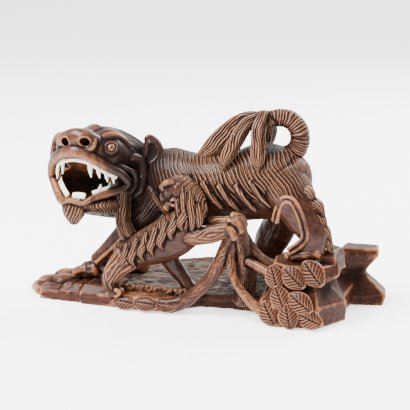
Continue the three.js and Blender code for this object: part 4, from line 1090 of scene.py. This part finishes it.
class Tone:
    """A node's output with Python's arithmetic on it."""

    def __init__(self, tree, socket):
        self.tree, self.socket = tree, socket

    def math(self, operation, *others):
        """This output put through one step of arithmetic."""
        return self.tree.node("ShaderNodeMath", {"operation": operation}, dict(enumerate((self, *others))))

    def __add__(self, other):
        return self.math("ADD", other)

    def __sub__(self, other):
        return self.math("SUBTRACT", other)

    def __mul__(self, other):
        return self.math("MULTIPLY", other)

    def __pow__(self, other):
        return self.math("POWER", other)

    __radd__, __rmul__ = __add__, __mul__

    def __rsub__(self, other):
        return self.tree.node("ShaderNodeMath", {"operation": "SUBTRACT"}, {0: other, 1: self})

    def between(self, low, high):
        """0 below low, 1 above high, and a smooth rise between."""
        sockets = {"Value": self, "From Min": low, "From Max": high}
        return self.tree.node("ShaderNodeMapRange", {"interpolation_type": "SMOOTHSTEP"}, sockets)

    def clear(self):
        """Kept from 0 to 1."""
        return self.math("MAXIMUM", 0.0).math("MINIMUM", 1.0)


class Paint:
    """A material's node tree, with one way to add any node."""

    def __init__(self, name):
        self.material = bpy.data.materials.new(name)
        self.material.use_nodes = True
        self.nodes = self.material.node_tree.nodes
        self.links = self.material.node_tree.links
        self.shader = self.nodes["Principled BSDF"]

    def node(self, kind, settings=None, sockets=None, output=0):
        """A new node with its settings and inputs; a ramp's stops are pairs of a place and a colour."""
        made = self.nodes.new(kind)
        for key, value in (settings or {}).items():
            if key == "stops":
                while len(made.color_ramp.elements) < len(value):
                    made.color_ramp.elements.new(0.5)
                for element, (place, shade) in zip(made.color_ramp.elements, value):
                    element.position, element.color = place, (*shade, 1)
            else:
                setattr(made, key, value)
        self.feed(made, sockets or {})
        return Tone(self, made.outputs[output])

    def feed(self, made, sockets):
        """Links or sets the node's inputs."""
        for key, value in sockets.items():
            if isinstance(value, Tone):
                self.links.new(value.socket, made.inputs[key])
            elif made.inputs[key].type == "RGBA":
                made.inputs[key].default_value = (*value, 1)
            else:
                made.inputs[key].default_value = value

    def at_point(self, name):
        """A number that the mesh notes at each point."""
        return self.node("ShaderNodeAttribute", {"attribute_name": name}, output=2)

    def place(self, scale=(1, 1, 1)):
        """Object coordinates, scaled."""
        where = self.node("ShaderNodeTexCoord", output=3)
        return self.node("ShaderNodeMapping", {}, {"Vector": where, "Scale": scale})

    def grain(self, scale, detail=3.0, stretch=(1, 1, 1), rough=0.55):
        """Noise over the object, finer with scale and drawn out with stretch."""
        sockets = {"Vector": self.place(stretch), "Scale": scale, "Detail": detail, "Roughness": rough}
        return self.node("ShaderNodeTexNoise", {}, sockets)

    def mix(self, share, first, second):
        """The first colour with a share of the second over it."""
        return self.node("ShaderNodeMix", {"data_type": "RGBA"}, {0: share, 6: first, 7: second}, output=2)

    def bump(self, height, distance, strength=1.0, under=None):
        """Relief from a height, over another relief where one is given."""
        sockets = {"Height": height, "Distance": distance, "Strength": strength}
        if under is not None:
            sockets["Normal"] = under
        return self.node("ShaderNodeBump", {}, sockets)

    def finish(self, **sockets):
        """Feeds the shader and gives back the material."""
        self.feed(self.shader, {k.replace("_", " "): v for k, v in sockets.items()})
        return self.material


# Where the painted shade is darkest, at the throat under the jaw
THROAT_SHADE = (np.array([-44.0, -8.0, 80.0]) + SHIFT) / MM


def hardwood(sizes, upward_grey=0.0):
    """Oiled rosewood: painted shade in its cuts, hollows and throat, orange brown where handling has
    polished it and where painted light lifts it, grey on upward faces where asked for.

    The strands' height is |sin(pi u)|^1.05 with u the number of the strand, made to wander by noise.
    Each strand has its own tone, from a random number for the whole part of u."""
    paint = Paint("upward_grey_wood" if upward_grey else "oiled_wood")
    line, hair = paint.at_point("strand"), paint.at_point("hair")
    wear, depth = paint.at_point("wear"), paint.at_point("depth")
    rub = paint.at_point("rub")
    wander = paint.grain(90.0, 2.0)
    fine = line + wander * 0.35
    ridge = (fine * math.pi).math("SINE").math("ABSOLUTE") ** 1.05
    number = {"W": fine.math("FLOOR")}
    each = paint.node("ShaderNodeTexWhiteNoise", {"noise_dimensions": "1D"}, number) - 0.5
    streaks = paint.grain(60.0, 5.0, (1.0, 7.0, 7.0), 0.65)
    patches = paint.grain(26.0, 3.0)
    specks = paint.grain(420.0, 3.0)
    pores = paint.grain(900.0, 2.0, (0.25, 1.0, 1.0))
    cutting = 1 - hair * (1 - ridge) * (0.55 + patches * 0.8).clear()
    body = paint.mix(streaks.between(0.32, 0.70), sizes.dark_wood, sizes.mid_wood)
    # Lighter where handling has polished edges, strand tops and patches, and painted light where the surface
    # stands out and at the listed pale spots
    worn_and_lit = wear * 0.75 + depth * 0.30 + patches * 0.9 + specks * 0.35 + (ridge * 0.30 + each * 0.22) * hair
    worn_and_lit = (worn_and_lit + rub * 0.6 - 0.70).between(0.0, 0.75)
    worn_and_lit_tone = paint.mix(hair * 0.65, sizes.worn_and_lit_wood, sizes.worn_and_lit_hair)
    body = paint.mix(worn_and_lit * 0.8, body, worn_and_lit_tone)
    # Painted shade: darker in hollows and creases and at the listed dark spots
    sunk = (0.24 - depth * 0.9 - wear * 0.60 - patches * 0.1 - rub * 0.38).between(0.0, 0.8)
    body = paint.mix(sunk * 0.9, body, sizes.shade_wood)
    # Painted shade in the bottoms of the strand cuts
    body = paint.mix((1 - cutting.between(0.12, 0.82)) * 0.9, body, sizes.shade_wood)
    # Grey laid on the upward faces of the grooved ground
    if upward_grey:
        normal = paint.node("ShaderNodeNewGeometry", output=1)
        level = paint.node("ShaderNodeSeparateXYZ", {}, {0: normal}, output=2).between(0.55, 0.95)
        drift = paint.grain(140.0, 4.0, (1, 2.5, 1)).between(0.36, 0.66)
        body = paint.mix(hair * level * drift * upward_grey, body, sizes.upward_grey)
    relief = paint.bump(cutting, 0.0009)
    relief = paint.bump(pores * 0.5 + streaks * 0.5, 0.00012, 0.5, relief)
    # Painted shade under the jaw, darkest at the throat
    ends = {0: paint.place(), 1: tuple(THROAT_SHADE)}
    neck = paint.node("ShaderNodeVectorMath", {"operation": "DISTANCE"}, ends, output=1)
    throat_shade = (1 - neck.between(0.014, 0.056)) * (0.5 + patches * 0.6)
    body = paint.mix(throat_shade * 0.85, body, sizes.shade_wood)
    oiled = ((1 - sunk) * (1 - hair * 0.5) * cutting * (0.55 + patches * 0.6)).clear()
    return paint.finish(
        Base_Color=body,
        Roughness=0.55 + sunk * 0.2,
        Normal=relief,
        Specular_IOR_Level=0.08,
        Coat_Weight=oiled * (0.12 if upward_grey else 0.36),
        Coat_Roughness=0.13,
        Coat_IOR=1.45,
    )


def ivory(sizes):
    """Tooth inlay: warm white, yellow towards the roots and in faint streaks."""
    paint = Paint("tooth_inlay")
    root = paint.at_point("root")
    streaks = paint.grain(220.0, 3.0, (1, 1, 0.3))
    body = paint.mix(streaks.between(0.3, 0.75) * 0.5, sizes.tooth, (0.70, 0.56, 0.34))
    body = paint.mix(root * 0.9, body, (0.52, 0.33, 0.12))
    relief = paint.bump(streaks, 0.0001, 0.4)
    rough = 0.28 + streaks * 0.15
    return paint.finish(Base_Color=body, Roughness=rough, Normal=relief, Subsurface_Weight=0.08)


def amber(sizes):
    """Glass eye: an amber ring round a dark pupil under a clear coat."""
    paint = Paint("eye_glass")
    iris = paint.at_point("iris")
    black = (0.006, 0.003, 0.002)
    pupil, shaded = (0.02, 0.009, 0.003), (0.05, 0.02, 0.005)
    stops = [(0.0, black), (0.14, pupil), (0.26, sizes.eye), (0.44, shaded), (0.58, black)]
    ring = paint.node("ShaderNodeValToRGB", {"stops": stops}, {0: iris})
    flecks = paint.grain(1600.0, 2.0)
    body = paint.mix(flecks.between(0.4, 0.8) * 0.4, ring, (0.10, 0.05, 0.015))
    return paint.finish(
        Base_Color=body,
        Roughness=0.35,
        Specular_IOR_Level=0.2,
        Coat_Weight=0.5,
        Coat_Roughness=0.03,
        Coat_IOR=1.35,
    )


def floor_paint():
    """The studio's floor, which glows a little so that it comes out nearly white."""
    grey, white = (0.9, 0.9, 0.9), (1.0, 1.0, 1.0)
    return Paint("pale_floor").finish(
        Base_Color=grey, Roughness=0.9, Emission_Color=white, Emission_Strength=1.4
    )


# Sizes and colours that a user would change


def colour(name, words, value):
    """A colour for the panel."""
    return bpy.props.FloatVectorProperty(
        name=name, description=words, subtype="COLOR", size=3, min=0, max=1, default=value
    )


def length(name, words, value, low, high):
    """A length in metres for the panel, with its lowest and highest value."""
    return bpy.props.FloatProperty(
        name=name, description=words, default=value, min=low, max=high, unit="LENGTH", precision=4
    )


class OrnamentWood(bpy.types.PropertyGroup):
    """The carving's fineness and the wood's colours"""

    leg_lock_depth: length("Leg lock depth", "Depth of the cuts on the legs", 0.0006, 0.0, 0.002)
    body_grid: length("Body grid", "Spacing of the points, trunk and legs", 0.00072, 0.0004, 0.003)
    fine_grid: length("Fine grid", "Spacing of the points, heads, tail and roots", 0.00062, 0.0004, 0.003)
    base_grid: length("Base grid", "Spacing of the points, base", 0.0010, 0.0004, 0.003)
    # The first colour is painted shade, laid in the cuts, in hollows and under the jaw
    shade_wood: colour("Shade wood", "The wood in the bottom of cuts", (0.0030, 0.0011, 0.0007))
    dark_wood: colour("Dark wood", "The darker streaks of the wood", (0.015, 0.0036, 0.0017))
    mid_wood: colour("Mid wood", "The lighter streaks of the wood", (0.048, 0.0142, 0.0062))
    # The next two are lighter from handling, and also carry painted light where the surface stands out
    worn_and_lit_wood: colour("Worn and lit wood", "Lighter edges and ridges from handling, and painted light", (0.265, 0.104, 0.043))
    worn_and_lit_hair: colour("Worn and lit hair", "Tops of the strands, drier than smooth wood", (0.225, 0.122, 0.072))
    # The last is grey laid on the upward faces of the grooved ground
    upward_grey: colour("Upward grey", "Grey on the upward faces of the grooved ground", (0.24, 0.20, 0.16))


class OrnamentInlay(bpy.types.PropertyGroup):
    """The eyes' sizes and the inlays' colours"""

    eye_radius: length("Eye radius", "Radius of the lion's eyes", 0.0035, 0.002, 0.006)
    cub_eye_radius: length("Cub's eye radius", "Radius of the cub's eyes", 0.0014, 0.0008, 0.003)
    tooth: colour("Tooth", "The tooth inlay", (0.82, 0.76, 0.61))
    eye: colour("Eye", "The ring of the glass eyes", (0.16, 0.065, 0.012))


class OrnamentStage(bpy.types.PropertyGroup):
    """The camera and the main light"""

    lens: bpy.props.FloatProperty(
        name="Lens", description="Focal length of the camera", default=115.2, min=20, max=300, unit="CAMERA"
    )
    distance: length("Distance", "From the camera to the ornament", 0.9, 0.3, 5.0)
    key_power: bpy.props.FloatProperty(
        name="Key light", description="Power of the large soft light in watts", default=95.0, min=0
    )


def seat(obj, node, material):
    """Gives a finished piece its material and its body, and hides the solid that it stands for."""
    obj.data.materials.clear()
    obj.data.materials.append(material)
    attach(obj, "root")
    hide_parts(node)


def seat_wood(context, obj, upward_grey=0.0):
    """The same for a piece of the carved block, in clean wood or in wood with grey on its upward faces,
    which is made once.
    """
    name = "upward_grey_wood" if upward_grey else "oiled_wood"
    material = bpy.data.materials.get(name) or hardwood(context.scene.ornament_wood, upward_grey)
    seat(obj, "carved_wood", material)


class ORNAMENT_OT_body(bpy.types.Operator):
    """Carve the lion's trunk and legs"""

    bl_idname = "ornament.body"
    bl_label = "Lion's body"

    def execute(self, context):
        sizes = context.scene.ornament_wood
        (near_haunch, *near_leg), (far_haunch, *far_leg) = near_hind_leg(), far_hind_leg()
        skins = [*trunk(), near_haunch, far_haunch]
        obj = carved("lion_body", skins, sizes.body_grid * MM, 3, locks=0.5, fine=0.0, wave=4.0, count=2)
        seat_wood(context, obj)
        legs = [*near_leg, *far_leg, *near_fore_leg(), *far_fore_leg()]
        obj = carved("lion_legs", legs, sizes.body_grid * MM, 2, locks=sizes.leg_lock_depth * MM)
        seat_wood(context, obj)
        return {"FINISHED"}


class ORNAMENT_OT_head(bpy.types.Operator):
    """Carve the lion's head with its open mouth, lips and scrolls"""

    bl_idname = "ornament.head"
    bl_label = "Lion's head"

    def execute(self, context):
        sizes = context.scene.ornament_wood
        near_shell, near_hollow = ear(1, 0)
        far_shell, far_hollow = ear(-1, 7)
        skins = [*head_mass(), *lower_jaw(), near_shell, far_shell]
        hollows = [mouth_hollow(), *nostrils(), near_hollow, far_hollow]
        rims = [
            socket_ring(NEAR_EYE, NEAR_LOOK, 3.9, 1.05),
            socket_ring(FAR_EYE, FAR_LOOK, 3.9, 1.05),
            socket_ring([25.2, -11.2, 11.8], [1, -0.15, 0.05], 4.9, 1.9),
            socket_ring([24.3, 5, 12], [1, 0.15, 0.05], 4.9, 1.9),
        ]
        after = [*lips_and_scrolls(), *rims]
        obj = carved("lion_head", skins, sizes.fine_grid * MM, 2, hollows, after, locks=0.4, shade=0.55)
        seat_wood(context, obj)
        return {"FINISHED"}


class ORNAMENT_OT_tail(bpy.types.Operator):
    """Carve the knotted tail and its locks"""

    bl_idname = "ornament.tail"
    bl_label = "Tail"

    def execute(self, context):
        sizes = context.scene.ornament_wood
        obj = carved("lion_tail", tail(), sizes.fine_grid * MM, 2, locks=0.5, wave=4.6)
        seat_wood(context, obj)
        return {"FINISHED"}


class ORNAMENT_OT_cub(bpy.types.Operator):
    """Carve the cub that climbs under the lion"""

    bl_idname = "ornament.cub"
    bl_label = "Cub"

    def execute(self, context):
        sizes = context.scene.ornament_wood
        skins = [*cub_body(), *cub_locks(), *cub_legs(), cub_tail()]
        obj = carved("cub", skins, sizes.fine_grid * MM, 2, locks=0.5)
        seat_wood(context, obj)
        return {"FINISHED"}


class ORNAMENT_OT_base(bpy.types.Operator):
    """Carve the base: ground, blocks, rocks and roots"""

    bl_idname = "ornament.base"
    bl_label = "Base"

    def execute(self, context):
        sizes = context.scene.ornament_wood
        rock, hollow = near_rock()
        level = [ground(), *left_blocks(), *mound()]
        grid = sizes.base_grid * MM
        obj = carved("ground", level, grid * 1.15, 0, flow=ground_lines, locks=0.5, fine=0.0, wave=4.0)
        seat_wood(context, obj, GROUND_UPWARD_GREY)
        obj = carved("rocks", [*rock, fishtail_rock()], grid * 0.9, 0, [hollow], locks=0.3)
        seat_wood(context, obj, GROUND_UPWARD_GREY)
        obj = carved("roots", roots(), sizes.fine_grid * MM, 2, locks=0.35, wave=3.6)
        seat_wood(context, obj)
        return {"FINISHED"}


class ORNAMENT_OT_leaves(bpy.types.Operator):
    """Carve the veined leaves of the mound and the rock, and the short grass"""

    bl_idname = "ornament.leaves"
    bl_label = "Leaves"

    def execute(self, context):
        obj = joined("leaves", [*mound_leaves(), *rock_leaves(), *grass()])
        mesh = obj.data
        points = points_of(mesh)
        soft = averaged(points, pairs_of(mesh), 2)
        bend = np.einsum("ij,ij->i", points - soft, points_of(mesh, "normal"))
        points[:, 2] = np.maximum(points[:, 2], 0.0)
        move_points(mesh, points)
        note(mesh, "strand", np.zeros(len(points)))
        note(mesh, "hair", np.zeros(len(points)))
        # The bend sets the curvature and the depth, so the veins get painted shade and the edges a lighter
        # tone
        note(mesh, "wear", np.clip(bend * 5 + 0.25, -1, 1))
        note(mesh, "depth", np.clip(bend * 4 + 0.45, -1, 1))
        note(mesh, "rub", np.full(len(points), LEAF_RUB))
        seat_wood(context, dressed("leaves", obj))
        return {"FINISHED"}


class ORNAMENT_OT_teeth(bpy.types.Operator):
    """Set the tooth strips into the gums"""

    bl_idname = "ornament.teeth"
    bl_label = "Teeth"

    def execute(self, context):
        material = ivory(context.scene.ornament_inlay)
        for name, (path, teeth) in TEETH.items():
            run = tooth_run(path, teeth)
            strip = run[0]
            obj = joined(name, run)
            verts = points_of(obj.data)
            angle = nearest_limb(verts, [strip])[1]
            toward_gum = np.sin(angle) if name == "upper_teeth" else -np.sin(angle)
            deep = step_up(toward_gum, 0.5, 1.0)
            note(obj.data, "root", np.where(np.arange(len(verts)) < len(strip.verts), deep, 0.0))
            seat(dressed(name + "_inlay", obj), name, material)
        return {"FINISHED"}


class ORNAMENT_OT_eyes(bpy.types.Operator):
    """Set the glass eyes of the lion and the cub"""

    bl_idname = "ornament.eyes"
    bl_label = "Eyes"

    def execute(self, context):
        inlay = context.scene.ornament_inlay
        material = amber(inlay)
        big, small = inlay.eye_radius * MM, inlay.cub_eye_radius * MM
        for name, centre, radius, look in (
            ("eye_near", in_head([NEAR_EYE])[0], big, NEAR_LOOK @ HEAD_TURN.T),
            ("eye_far", in_head([FAR_EYE])[0], big, FAR_LOOK @ HEAD_TURN.T),
            ("cub_eye_near", CUB_NEAR_EYE, small, np.array(CUB_NEAR_LOOK)),
            ("cub_eye_far", CUB_FAR_EYE, small, np.array(CUB_FAR_LOOK)),
        ):
            ball = blob(centre, (radius, radius, radius), 30, 48)
            obj = hold(name, mesh_of(name, ball.verts, ball.faces))
            toward = unit(ball.verts - centre) @ unit(look)
            note(obj.data, "iris", np.arccos(np.clip(toward, -1, 1)) / (math.pi / 2))
            seat(dressed(name + "_glass", obj), name, material)
        return {"FINISHED"}


def floor_object(width=12.0, front=-3.0, depth=7.5, bend=2.4, steep=0.9, steps=60):
    """The studio's floor: level in front, then rising behind as steep * (y - bend)^2."""
    y = front + depth * np.linspace(0, 1, steps)
    z = np.where(y > bend, (y - bend) ** 2 * steep, 0.0)
    x = np.array([-width / 2, width / 2])
    verts = np.stack(np.broadcast_arrays(x[None, :], y[:, None], z[:, None]), -1).reshape(-1, 3)
    i = np.arange(steps - 1) * 2
    floor = hold("floor", mesh_of("floor", verts, tuples(np.stack([i, i + 1, i + 3, i + 2], -1))))
    floor.data.polygons.foreach_set("use_smooth", np.ones(steps - 1, bool))
    floor.data.materials.append(floor_paint())
    return floor


def aim(obj, place, target):
    """Puts a light or camera at a place and points it at a target."""
    obj.location = Vector(place.tolist())
    obj.rotation_mode = "QUATERNION"
    obj.rotation_quaternion = Vector((target - place).tolist()).to_track_quat("-Z", "Y")


# The picture's middle, and where the camera stands from it: degrees round to the right, and up
TARGET = (np.array([6.0, -17.0, 72.4]) + SHIFT) / MM
CAMERA_ROUND, CAMERA_UP = 20, 12
WORLD_LIGHT = 1.35


class ORNAMENT_OT_stage(bpy.types.Operator):
    """Set the pale floor, the soft lights and the camera"""

    bl_idname = "ornament.stage"
    bl_label = "Stage"

    def execute(self, context):
        scene = context.scene
        sizes = scene.ornament_stage
        floor_object()
        world = scene.world or bpy.data.worlds.new("studio")
        scene.world = world
        world.use_nodes = True
        back = world.node_tree.nodes["Background"]
        back.inputs["Color"].default_value = (1, 1, 1, 1)
        back.inputs["Strength"].default_value = WORLD_LIGHT
        for name, place, share, size in (
            ("key", (-0.7, -0.5, 1.3), 1.0, 0.9),
            ("back", (0.5, 1.0, 1.0), 0.6, 0.8),
            ("glint", (-0.5, -1.1, 0.9), 0.12, 0.12),
        ):
            light = hold(name, bpy.data.lights.new(name, "AREA"))
            light.data.energy = sizes.key_power * share
            light.data.size = size
            aim(light, np.array(place), TARGET)
        camera = hold("camera", bpy.data.cameras.new("camera"))
        camera.data.sensor_width = 36
        camera.data.lens = sizes.lens
        camera.data.clip_start, camera.data.clip_end = 0.05, 50
        a, e = math.radians(CAMERA_ROUND), math.radians(CAMERA_UP)
        way = np.array([math.sin(a) * math.cos(e), -math.cos(a) * math.cos(e), math.sin(e)])
        aim(camera, TARGET + way * sizes.distance, TARGET)
        scene.camera = camera
        return {"FINISHED"}


OPERATORS = (
    ORNAMENT_OT_body,
    ORNAMENT_OT_head,
    ORNAMENT_OT_tail,
    ORNAMENT_OT_cub,
    ORNAMENT_OT_base,
    ORNAMENT_OT_leaves,
    ORNAMENT_OT_teeth,
    ORNAMENT_OT_eyes,
    ORNAMENT_OT_stage,
)


class ORNAMENT_PT_panel(bpy.types.Panel):
    """The ornament's sizes, colours and steps"""

    bl_idname = "ORNAMENT_PT_panel"
    bl_label = "Carved lion ornament"
    bl_space_type = "VIEW_3D"
    bl_region_type = "UI"
    bl_category = "Ornament"

    def draw(self, context):
        for group_name in GROUPS:
            group = getattr(context.scene, group_name)
            box = self.layout.box()
            for name in type(group).__annotations__:
                box.prop(group, name)
        for operator in OPERATORS:
            self.layout.operator(operator.bl_idname)


GROUPS = {"ornament_wood": OrnamentWood, "ornament_inlay": OrnamentInlay, "ornament_stage": OrnamentStage}
CLASSES = (*GROUPS.values(), *OPERATORS, ORNAMENT_PT_panel)


def register():
    """Registers the classes and gives each scene its groups of sizes and colours."""
    for made in CLASSES:
        bpy.utils.register_class(made)
    for name, group in GROUPS.items():
        setattr(bpy.types.Scene, name, bpy.props.PointerProperty(type=group))


def unregister():
    """Takes the groups and the classes away again."""
    for name in GROUPS:
        delattr(bpy.types.Scene, name)
    for made in reversed(CLASSES):
        bpy.utils.unregister_class(made)


def main():
    """Makes every piece and the stage in order."""
    register()
    for operator in OPERATORS:
        group, name = operator.bl_idname.split(".")
        if getattr(getattr(bpy.ops, group), name)() != {"FINISHED"}:
            raise RuntimeError(operator.bl_label + " was not made")


if __name__ == "__main__":
    main()
